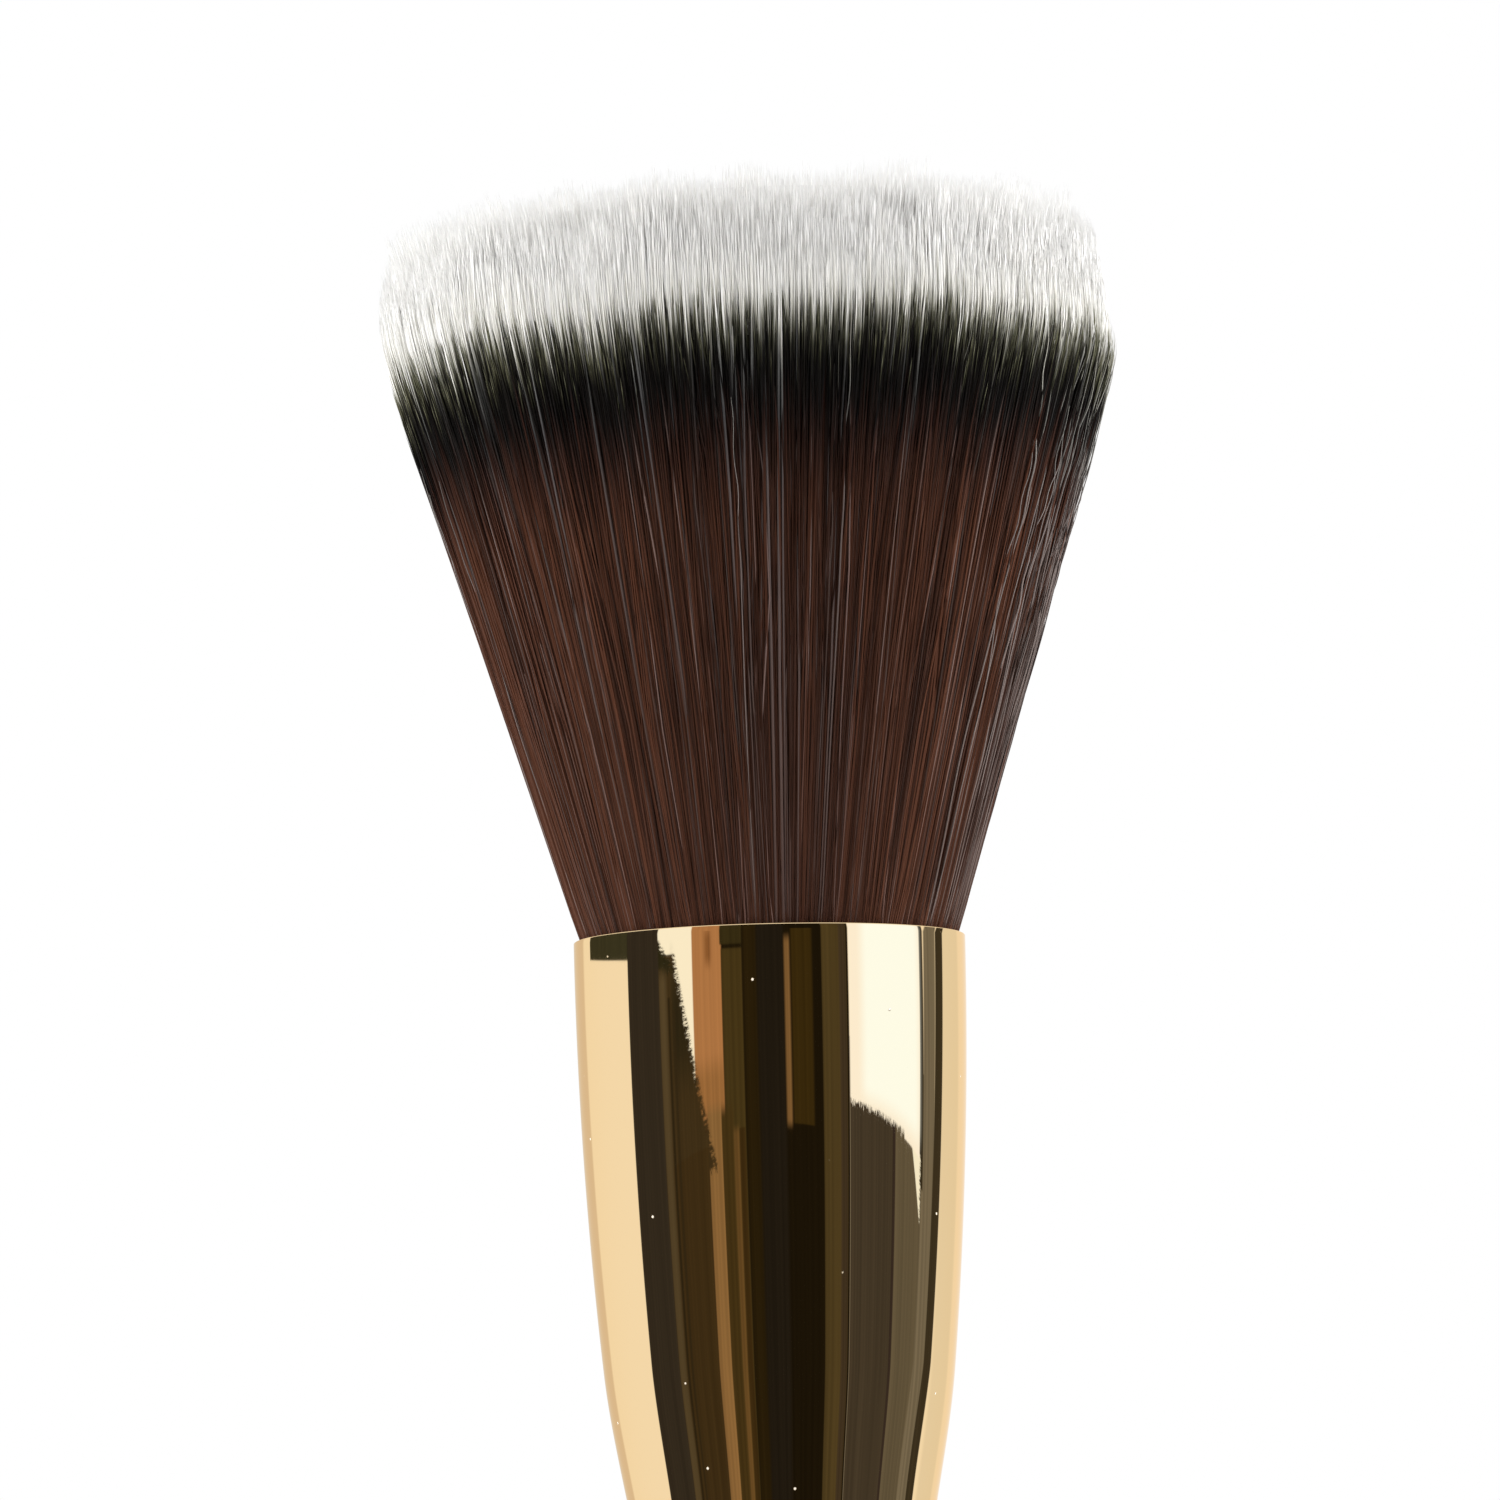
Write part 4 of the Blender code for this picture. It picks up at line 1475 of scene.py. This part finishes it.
@dataclass
class RootPack:
    """Everything that the ferrule hides: packed roots, their tie, the resin and the glue."""

    ferrule: Ferrule
    fit_gap: float = 0.3 * MM
    dark_depths: tuple[float, float] = (1.9 * MM, 6.0 * MM)
    white_depths: tuple[float, float] = (6.3 * MM, 17.5 * MM)
    tie_depths: tuple[float, float] = (8.2 * MM, 11.8 * MM)
    tie_cut: float = 0.9 * MM
    foot_depth: float = 13.5 * MM
    foot_step: float = 1.9 * MM
    foot_edge: float = 0.3 * MM
    edge: float = 0.2 * MM
    steps: int = 96
    thread_radius: float = 0.25 * MM
    thread_rise: float = 0.8 * MM
    thread_turns: int = 3
    thread_sides: int = 10
    thread_steps: int = 240
    thread_end_power: int = 60

    def lining(self, depths: np.ndarray) -> np.ndarray:
        """Radius of what fits inside the ferrule at each depth."""
        return self.ferrule.radius(depths) - self.ferrule.wall - self.fit_gap

    def pack(self, name: str, rows: Sequence[tuple[float, float]], finish: PackedRoots, node: str) -> None:
        """Turn one mass of packed roots.

        Args:
            name: the piece's name.
            rows: depth of each row and how far it is drawn in from the lining.
            finish: its finish.
            node: the frame's node that it stands for.
        """
        depths = np.array([row[0] for row in rows])
        radii = self.lining(depths) - np.array([row[1] for row in rows])
        heights = self.ferrule.mouth - depths
        outline = np.vstack([[0, heights[0]], np.stack([radii, heights], axis=1), [0, heights[-1]]])
        piece = place_piece(name, turn(name, outline, self.steps, closed=False), finish.material())
        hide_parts(node)

    def build(self) -> None:
        """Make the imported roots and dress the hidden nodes."""
        top, bottom = self.dark_depths
        edge = self.edge
        rows = [(top, edge), (top + edge, 0.0), (bottom - edge, 0.0), (bottom, edge)]
        dark = PackedRoots("dark_root_ends", (0.018, 0.009, 0.007), (0.060, 0.030, 0.022))
        self.pack("dark_roots", rows, dark, "short_dark_fibres")
        top, bottom = self.white_depths
        upper, lower = self.tie_depths
        cut, foot, step = self.tie_cut, self.foot_depth, self.foot_step
        rows = [(top, edge), (top + edge, 0.0), (upper, 0.0), (upper, cut), (lower, cut), (lower, 0.0)]
        rows += [(foot, 0.0), (foot, step), (bottom - self.foot_edge, step), (bottom, step + self.foot_edge)]
        white = PackedRoots("white_root_ends", (0.42, 0.38, 0.32), (0.78, 0.75, 0.70))
        self.pack("white_roots", rows, white, "long_white_fibres")
        self.dress("resin_cup", CastResin("amber_resin", (0.22, 0.10, 0.02), (0.52, 0.30, 0.09), 0.2).material())
        self.dress("tenon_glue", CastResin("wood_glue", (0.46, 0.34, 0.17), (0.62, 0.50, 0.28), 0.5).material())
        self.wind_tie()

    def dress(self, node: str, material: bpy.types.Material) -> None:
        """Give one of the frame's own nodes its finish.

        Args:
            node: the node's name.
            material: its finish.
        """
        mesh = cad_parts[node].data
        mesh.materials.clear()
        mesh.materials.append(material)

    def wind_tie(self) -> None:
        """Wind the thread: a helix round the neck, with a round section carried along it that closes at its ends."""
        radius, turns, sides, steps = self.thread_radius, self.thread_turns, self.thread_sides, self.thread_steps
        middle = sum(self.tie_depths) / 2
        reach = float(self.lining(np.array([middle]))[0]) - self.tie_cut + self.fit_gap + radius
        way = np.linspace(0, 1, steps)[:, None]
        angle = way * turns * math.tau
        around = (np.arange(sides) * math.tau / sides)[None, :]
        ends = np.sqrt(np.clip(1 - (2 * way - 1) ** self.thread_end_power, 0, 1))
        out = reach + radius * ends * np.cos(around)
        climb = (way - 0.5) * turns * self.thread_rise
        height = self.ferrule.mouth - middle + climb + radius * ends * np.sin(around)
        points = np.stack([out * np.cos(angle), out * np.sin(angle), height], axis=2).reshape(-1, 3)
        row = np.arange(steps - 1)[:, None] * sides
        side = np.arange(sides)[None, :]
        aside = (side + 1) % sides
        quads = np.stack([row + side, row + sides + side, row + sides + aside, row + aside], axis=2).reshape(-1, 4)
        mesh = make_mesh("tie_thread", points, quads, np.zeros((0, 3), np.int64))
        places = np.stack([np.broadcast_to(around / math.tau, out.shape), np.broadcast_to(way, out.shape)], axis=2)
        set_bake_map(mesh, places.reshape(-1, 2))
        piece = place_piece("tie_thread", mesh, CottonThread().material())
        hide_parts("root_binding")


# The studio


@dataclass(frozen=True)
class Panel:
    """Something round the brush that the mirror plate shows, in degrees as seen from the brush.

    Azimuth 0 is at the camera and grows to its right, and elevation counts from the room's level. Each
    upright edge leans by so many degrees of azimuth for each degree of elevation, and the lower edge
    slants by so many degrees of elevation for each degree past the left edge. Edge and rim are half the
    softness of the upright and the level edges. Fuzz roughens the right and the lower edge.
    """

    name: str
    left: float
    right: float
    low: float
    high: float
    colour: Colour
    lean_left: float = 0.0
    lean_right: float = 0.0
    edge: float = 0.5
    rim: float = 0.02
    fuzz: float = 0.0
    slant: float = 0.0


BELOW = -40.0
ABOVE = 16.0

PANELS = (
    Panel("corner_left", -200.0, -143.0, BELOW, ABOVE, (0.78, 0.72, 0.68), edge=2.0),
    Panel("corner_left_back", -200.0, -158.0, BELOW, ABOVE, (0.80, 0.75, 0.68), edge=7.0),
    Panel("wall_right", 119.0, 146.0, BELOW, ABOVE, (0.864, 0.869, 0.862), edge=3.0),
    Panel("corner_right", 146.0, 200.0, BELOW, ABOVE, (1.0, 0.97, 0.95), edge=4.0),
    Panel("shelf_left", -132.0, -90.0, 2.92, ABOVE, (0.050, 0.054, 0.036), slant=-0.0072),
    Panel("room", -92.5, 46.4, BELOW, ABOVE, (0.014, 0.011, 0.006)),
    Panel("pale_door", -84.0, -44.0, -3.0, ABOVE, (1.06, 1.20, 1.42)),
    Panel("board", -46.6, -28.6, -2.5, ABOVE, (0.49, 0.27, 0.147), rim=0.3),
    Panel("board_shade", -46.0, -29.0, -2.5, -0.9, (0.385, 0.22, 0.109), rim=0.5),
    Panel("board_knot", -38.5, -35.0, 2.2, 3.2, (0.30, 0.15, 0.07), rim=0.3, edge=1.5),
    Panel("board_foot", -39.8, -31.0, BELOW, -2.2, (0.305, 0.20, 0.103), rim=0.3),
    Panel("olive_shelf", -28.8, -16.6, BELOW, 2.62, (0.072, 0.057, 0.023)),
    Panel("olive_shelf_top", -29.5, -16.6, 2.75, ABOVE, (0.045, 0.040, 0.018)),
    Panel("olive_shelf_foot", -31.2, -24.0, BELOW, -2.3, (0.071, 0.052, 0.020), rim=0.3),
    Panel("brass_rail", -24.0, -20.6, BELOW, -3.0, (0.16, 0.104, 0.045), edge=0.9, rim=0.2),
    Panel("rail_shade", -20.6, -17.0, BELOW, -3.0, (0.055, 0.037, 0.014)),
    Panel("gap_left", -15.8, -8.0, BELOW, ABOVE, (0.027, 0.020, 0.008), edge=1.5),
    Panel("gap", -8.0, 7.6, BELOW, ABOVE, (0.018, 0.016, 0.014), edge=1.5),
    Panel("thin_board", 8.0, 11.2, -3.0, 2.9, (0.24, 0.155, 0.080), edge=0.8, rim=0.2),
    Panel("olive_door", 12.0, 24.2, -2.95, 3.3, (0.048, 0.034, 0.010), edge=1.0),
    Panel("door", 30.0, 45.0, BELOW, ABOVE, (0.089, 0.072, 0.035)),
    Panel("door_right", 40.5, 44.8, BELOW, ABOVE, (0.062, 0.050, 0.038)),
    Panel("cloth_back", -88.0, -51.5, -4.2, 2.6, (0.062, 0.047, 0.025), lean_right=-3.55, fuzz=3.0, edge=0.8),
    Panel("cloth", -88.0, -39.9, BELOW, -3.3, (0.059, 0.042, 0.020)),
    Panel("cloth_arch", -88.0, -32.2, 2.0, ABOVE, (0.032, 0.032, 0.018), lean_right=-13.0, fuzz=3.0, edge=1.2),
    Panel("cloth_dark", -60.5, -51.7, -1.0, 2.05, (0.034, 0.030, 0.018), lean_right=-3.55, fuzz=3.0, edge=1.6, rim=1.2),
    Panel("cloth_rail", -69.0, -63.8, BELOW, 2.1, (0.108, 0.090, 0.059), edge=1.0, rim=0.3),
    Panel("cloth_fold", -63.2, -61.6, BELOW, 1.4, (0.035, 0.028, 0.016), edge=0.8),
    Panel("cloth_fold_2", -59.8, -58.4, BELOW, 1.0, (0.038, 0.030, 0.017), edge=0.8),
    Panel("pillar", -92.5, -69.0, BELOW, ABOVE, (0.040, 0.036, 0.033)),
    Panel("lamp_foot", 46.3, 96.5, BELOW, 0.0, (0.070, 0.063, 0.056)),
    Panel("lamp_foot_side", 77.6, 112.0, BELOW, 0.0, (0.146, 0.139, 0.120)),
    Panel("lamp_seam", 75.8, 77.8, BELOW, 0.0, (0.045, 0.036, 0.038)),
    Panel("lamp_side", 101.0, 112.5, BELOW, ABOVE, (0.213, 0.209, 0.195), 0.4, 0.4, edge=1.0),
    Panel("lamp_side_edge", 97.8, 101.2, -2.6, ABOVE, (0.045, 0.040, 0.028)),
    Panel("lamp_rim", 46.6, 90.0, -2.03, ABOVE, (1.08, 1.22, 1.56), fuzz=3.0),
    Panel("lamp_hem", 81.5, 98.0, -3.5, -1.9, (1.02, 1.18, 1.40), lean_left=-5.0, fuzz=1.2),
    Panel("lamp_hem_side", 85.0, 98.0, -2.0, ABOVE, (1.08, 1.22, 1.56)),
    Panel("lamp", 55.0, 97.0, -1.6, ABOVE, (1.10, 1.42, 2.00), edge=4.0, rim=0.4),
    Panel("lamp_frame", 112.4, 120.6, BELOW, ABOVE, (0.055, 0.049, 0.036), 0.55, 0.55),
)


@dataclass(frozen=True)
class Lamp:
    """Square soft lamp: its azimuth and elevation from the mouth in degrees, its side and its watts."""

    name: str
    azimuth: float
    elevation: float
    size: float
    watts: float


LAMPS = (
    Lamp("left_lamp", -100, 8, 0.6, 4.0),
    Lamp("right_lamp", 98, 8, 0.6, 4.0),
    Lamp("front_lamp", 4, 8, 1.0, 2.2),
    Lamp("top_lamp", 0, 75, 0.8, 1.6),
)


@dataclass
class Studio:
    """Camera, lamps, floor and the room that the plate reflects.

    The camera's numbers are in pixels of the photograph.
    """

    mouth: float
    photo_side: float = 1500.0
    metres_per_pixel: float = 0.0509 * MM
    focal_pixels: float = 9100.0
    level_row: float = 1713.0
    mouth_row: float = 941.7
    axis_column: float = 765.0
    roll: float = 1.35
    sensor: float = 36.0
    clip: tuple[float, float] = (0.01, 20.0)
    lamp_reach: float = 0.7
    even_light: float = 0.67
    back_light: float = 0.10
    side_light: float = 0.70
    side_power: float = 3.0
    room_level: float = 1.58
    hair_stretches: tuple[Stretch, ...] = ((0.2, 14.0, 1.0), (1.3, 2.0, 1.0))
    hair_width: float = 0.16
    low_hair: float = -0.08
    streak_dark: float = 0.72
    floor_radius: float = 0.45
    floor_sides: int = 96

    def place_camera(self) -> None:
        """Put the camera where the photograph was taken from.

        Its distance is the focal length in pixels times the size of a pixel at the brush. It is level
        with the row where the mouth would be seen from the side, and tilts up to centre the picture.
        """
        distance = self.focal_pixels * self.metres_per_pixel
        middle = self.photo_side / 2
        pitch = math.atan((self.level_row - middle) / self.focal_pixels)
        roll = math.radians(self.roll)
        forward = Vector((0, math.cos(pitch), math.sin(pitch)))
        level_up = Vector((0, -math.sin(pitch), math.cos(pitch)))
        level_right = Vector((1, 0, 0))
        right = level_right * math.cos(roll) - level_up * math.sin(roll)
        up = level_up * math.cos(roll) + level_right * math.sin(roll)
        aside = (middle - self.axis_column) * self.metres_per_pixel
        height = self.mouth - (self.level_row - self.mouth_row) * self.metres_per_pixel
        place = Vector((aside, -distance, height))
        camera = bpy.data.objects.new("camera", bpy.data.cameras.new("camera"))
        camera.data.sensor_width = self.sensor
        camera.data.lens = self.focal_pixels / self.photo_side * self.sensor
        camera.data.clip_start, camera.data.clip_end = self.clip
        turned = Matrix((right, up, -forward)).transposed().to_4x4()
        camera.matrix_world = Matrix.Translation(place) @ turned
        bpy.context.scene.collection.objects.link(camera)
        bpy.context.scene.camera = camera

    def panel_group(self) -> bpy.types.NodeTree:
        """Group that paints one panel over what lies behind it.

        Returns:
            The group, with an input for each of a panel's sizes.
        """

        def fill(wiring: Wiring, start: bpy.types.Node, end: bpy.types.Node) -> None:
            """Wire the group's nodes.

            Args:
                wiring: the group's wiring.
                start: its inputs.
                end: its outputs.
            """
            value = start.outputs

            def past(along: object, edge: object, soft: object) -> bpy.types.NodeSocket:
                """0 before an edge and 1 past it, with a smooth step between."""
                low, high = wiring.math("SUBTRACT", edge, soft), wiring.math("ADD", edge, soft)
                return wiring.remap(along, low, high, 0.0, 1.0)

            hairs = wiring.math("MULTIPLY", value["Side Hairs"], value["Fuzz"])
            low_hairs = wiring.math("MULTIPLY", value["Low Hairs"], value["Fuzz"])
            across, up = value["Azimuth"], value["Elevation"]
            left_edge = wiring.math("MULTIPLY_ADD", up, value["Lean Left"], value["Left"])
            right_edge = wiring.math("MULTIPLY_ADD", up, value["Lean Right"], value["Right"])
            left = past(across, left_edge, value["Edge"])
            right = past(wiring.math("SUBTRACT", across, hairs), right_edge, value["Edge"])
            lift = wiring.math("MULTIPLY_ADD", low_hairs, self.low_hair, up)
            way = wiring.math("SUBTRACT", across, value["Left"])
            low = past(lift, wiring.math("MULTIPLY_ADD", way, value["Slant"], value["Low"]), value["Rim"])
            high = past(up, value["High"], value["Rim"])
            mask = wiring.math("MULTIPLY", left, wiring.math("SUBTRACT", 1.0, right))
            mask = wiring.math("MULTIPLY", mask, low)
            mask = wiring.math("MULTIPLY", mask, wiring.math("SUBTRACT", 1.0, high))
            wiring.feed(end.inputs["Colour"], wiring.mix(mask, value["Behind"], value["Colour"]))

        sizes = [size.name.title().replace("_", " ") for size in fields(Panel) if size.type is float]
        names = ("Azimuth", "Elevation", "Side Hairs", "Low Hairs", *sizes)
        inputs = [(name, NUMBER, 0.0) for name in names]
        inputs += [(name, TINT, WHITE_LIGHT) for name in ("Behind", "Colour")]
        return shader_group("studio_panel", inputs, [("Colour", TINT)], fill)

    def room(
        self, wiring: Wiring, azimuth: bpy.types.NodeSocket, elevation: bpy.types.NodeSocket
    ) -> bpy.types.NodeSocket:
        """Colour of the room in each direction: the panels over white, with upright streaks where they are dark.

        The hairs of rough edges are ridges, highest where a drawn-out noise passes its middle.

        Args:
            wiring: the world's wiring.
            azimuth: degrees to the camera's right.
            elevation: degrees above the room's level.

        Returns:
            The colour.
        """
        directions = wiring.add("ShaderNodeCombineXYZ", None, X=azimuth, Y=elevation).outputs[0]
        hairs = []
        for stretch in self.hair_stretches:
            strands = wiring.noise(directions, scale=1.0, stretch=stretch)
            ridge = wiring.math("ABSOLUTE", wiring.math("SUBTRACT", strands, 0.5))
            hairs.append(wiring.remap(ridge, 0.0, self.hair_width, 1.0, 0.0))
        given = {"Azimuth": azimuth, "Elevation": elevation, "Side_Hairs": hairs[0], "Low_Hairs": hairs[1]}
        room: object = WHITE_LIGHT
        for panel in PANELS:
            sizes = {name.title(): value for name, value in asdict(panel).items() if name != "name"}
            settings = {"node_tree": self.panel_group(), "label": panel.name}
            room = wiring.add("ShaderNodeGroup", settings, Behind=room, **given, **sizes).outputs[0]
        column = wiring.add("ShaderNodeCombineXYZ", None, X=azimuth, Y=wiring.math("MULTIPLY", elevation, 0.05))
        streak = wiring.add("ShaderNodeTexNoise", None, Vector=column.outputs[0], Scale=0.55, Detail=3.0).outputs[0]
        streak = wiring.remap(streak, 0.25, 0.75, self.streak_dark, 1.0)
        dim = wiring.mix(1.0, room, wiring.grey(streak), "MULTIPLY")
        level = wiring.add("ShaderNodeSeparateColor", None, Color=room).outputs[0]
        return wiring.mix(wiring.remap(level, 0.3, 0.7, 0.0, 1.0), dim, room)

    def light_world(self) -> None:
        """White behind the brush, the panelled room in the plate, and a soft even light on everything.

        The light is a level, a little more from behind, and more from the sides with the cube of x.
        """
        world = bpy.data.worlds.new("studio")
        bpy.context.scene.world = world
        world.use_nodes = True
        wiring = Wiring(world.node_tree)
        background = world.node_tree.nodes["Background"]
        place = wiring.add("ShaderNodeTexCoord").outputs["Generated"]
        parts = wiring.add("ShaderNodeSeparateXYZ", None, Vector=place)
        back = wiring.math("MULTIPLY", parts.outputs[1], -1.0)
        azimuth = wiring.math("DEGREES", wiring.math("ARCTAN2", parts.outputs[0], back))
        elevation = wiring.math("DEGREES", wiring.math("ARCSINE", parts.outputs[2]))
        elevation = wiring.math("SUBTRACT", elevation, self.room_level)
        paths = wiring.add("ShaderNodeLightPath")
        aside = wiring.math("POWER", wiring.math("ABSOLUTE", parts.outputs[0]), self.side_power)
        toward_back = wiring.math("MULTIPLY_ADD", parts.outputs[1], self.back_light, self.even_light)
        level = wiring.math("MULTIPLY_ADD", aside, self.side_light, toward_back)
        room = self.room(wiring, azimuth, elevation)
        seen = wiring.mix(paths.outputs["Is Glossy Ray"], wiring.grey(level), room)
        seen = wiring.mix(paths.outputs["Is Camera Ray"], seen, WHITE_LIGHT)
        seen = wiring.mix(paths.outputs["Is Transmission Ray"], seen, WHITE_LIGHT)
        wiring.feed(background.inputs["Color"], seen)
        background.inputs["Strength"].default_value = 1.0
        world.cycles.sampling_method = "MANUAL"
        world.cycles.sample_map_resolution = 256

    def hang(self, lamp: Lamp) -> None:
        """Hang a lamp so that it faces the mouth and stays out of the plate.

        Args:
            lamp: the lamp.
        """
        light = bpy.data.lights.new(lamp.name, "AREA")
        light.size = lamp.size
        light.energy = lamp.watts
        item = bpy.data.objects.new(lamp.name, light)
        angle, rise = math.radians(lamp.azimuth), math.radians(lamp.elevation)
        target = Vector((0, 0, self.mouth))
        toward = Vector((math.sin(angle) * math.cos(rise), -math.cos(angle) * math.cos(rise), math.sin(rise)))
        item.location = target + self.lamp_reach * toward
        item.rotation_euler = (target - item.location).to_track_quat("-Z", "Y").to_euler()
        item.visible_glossy = False
        item.visible_camera = False
        bpy.context.scene.collection.objects.link(item)

    def lay_floor(self) -> None:
        """Lay a round pale floor: a fan of triangles round its middle."""
        rim = np.arange(self.floor_sides)
        angle = rim * math.tau / self.floor_sides
        points = np.stack([np.cos(angle), np.sin(angle), np.zeros(self.floor_sides)], axis=1) * self.floor_radius
        points = np.vstack([points, [[0, 0, 0]]])
        faces = np.stack([np.full_like(rim, self.floor_sides), rim, (rim + 1) % self.floor_sides], axis=1)
        mesh = make_mesh("floor", points, np.zeros((0, 4), np.int64), faces)
        floor = bpy.data.objects.new("floor", mesh)
        bpy.context.scene.collection.objects.link(floor)
        mesh.materials.append(PaleFloor(self.floor_radius).material())

    def build(self) -> None:
        """Set up the whole studio."""
        self.place_camera()
        self.light_world()
        for lamp in LAMPS:
            self.hang(lamp)
        self.lay_floor()


def main() -> None:
    """Dress the frame and light it."""
    logging.basicConfig(level=logging.INFO, format="%(name)s %(message)s")
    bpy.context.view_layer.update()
    bpy.context.scene.view_settings.view_transform = "Standard"
    low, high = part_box("ferrule")
    ferrule = Ferrule(base=low.z, length=high.z - low.z, mouth_radius=high.x)
    Studio(mouth=ferrule.mouth).build()
    ferrule.build()
    Handle(ferrule).build()
    FibreHead(ferrule.mouth, ferrule.mouth_radius - ferrule.wall - HEAD_GAP).build()
    RootPack(ferrule).build()


if __name__ == "__main__":
    main()
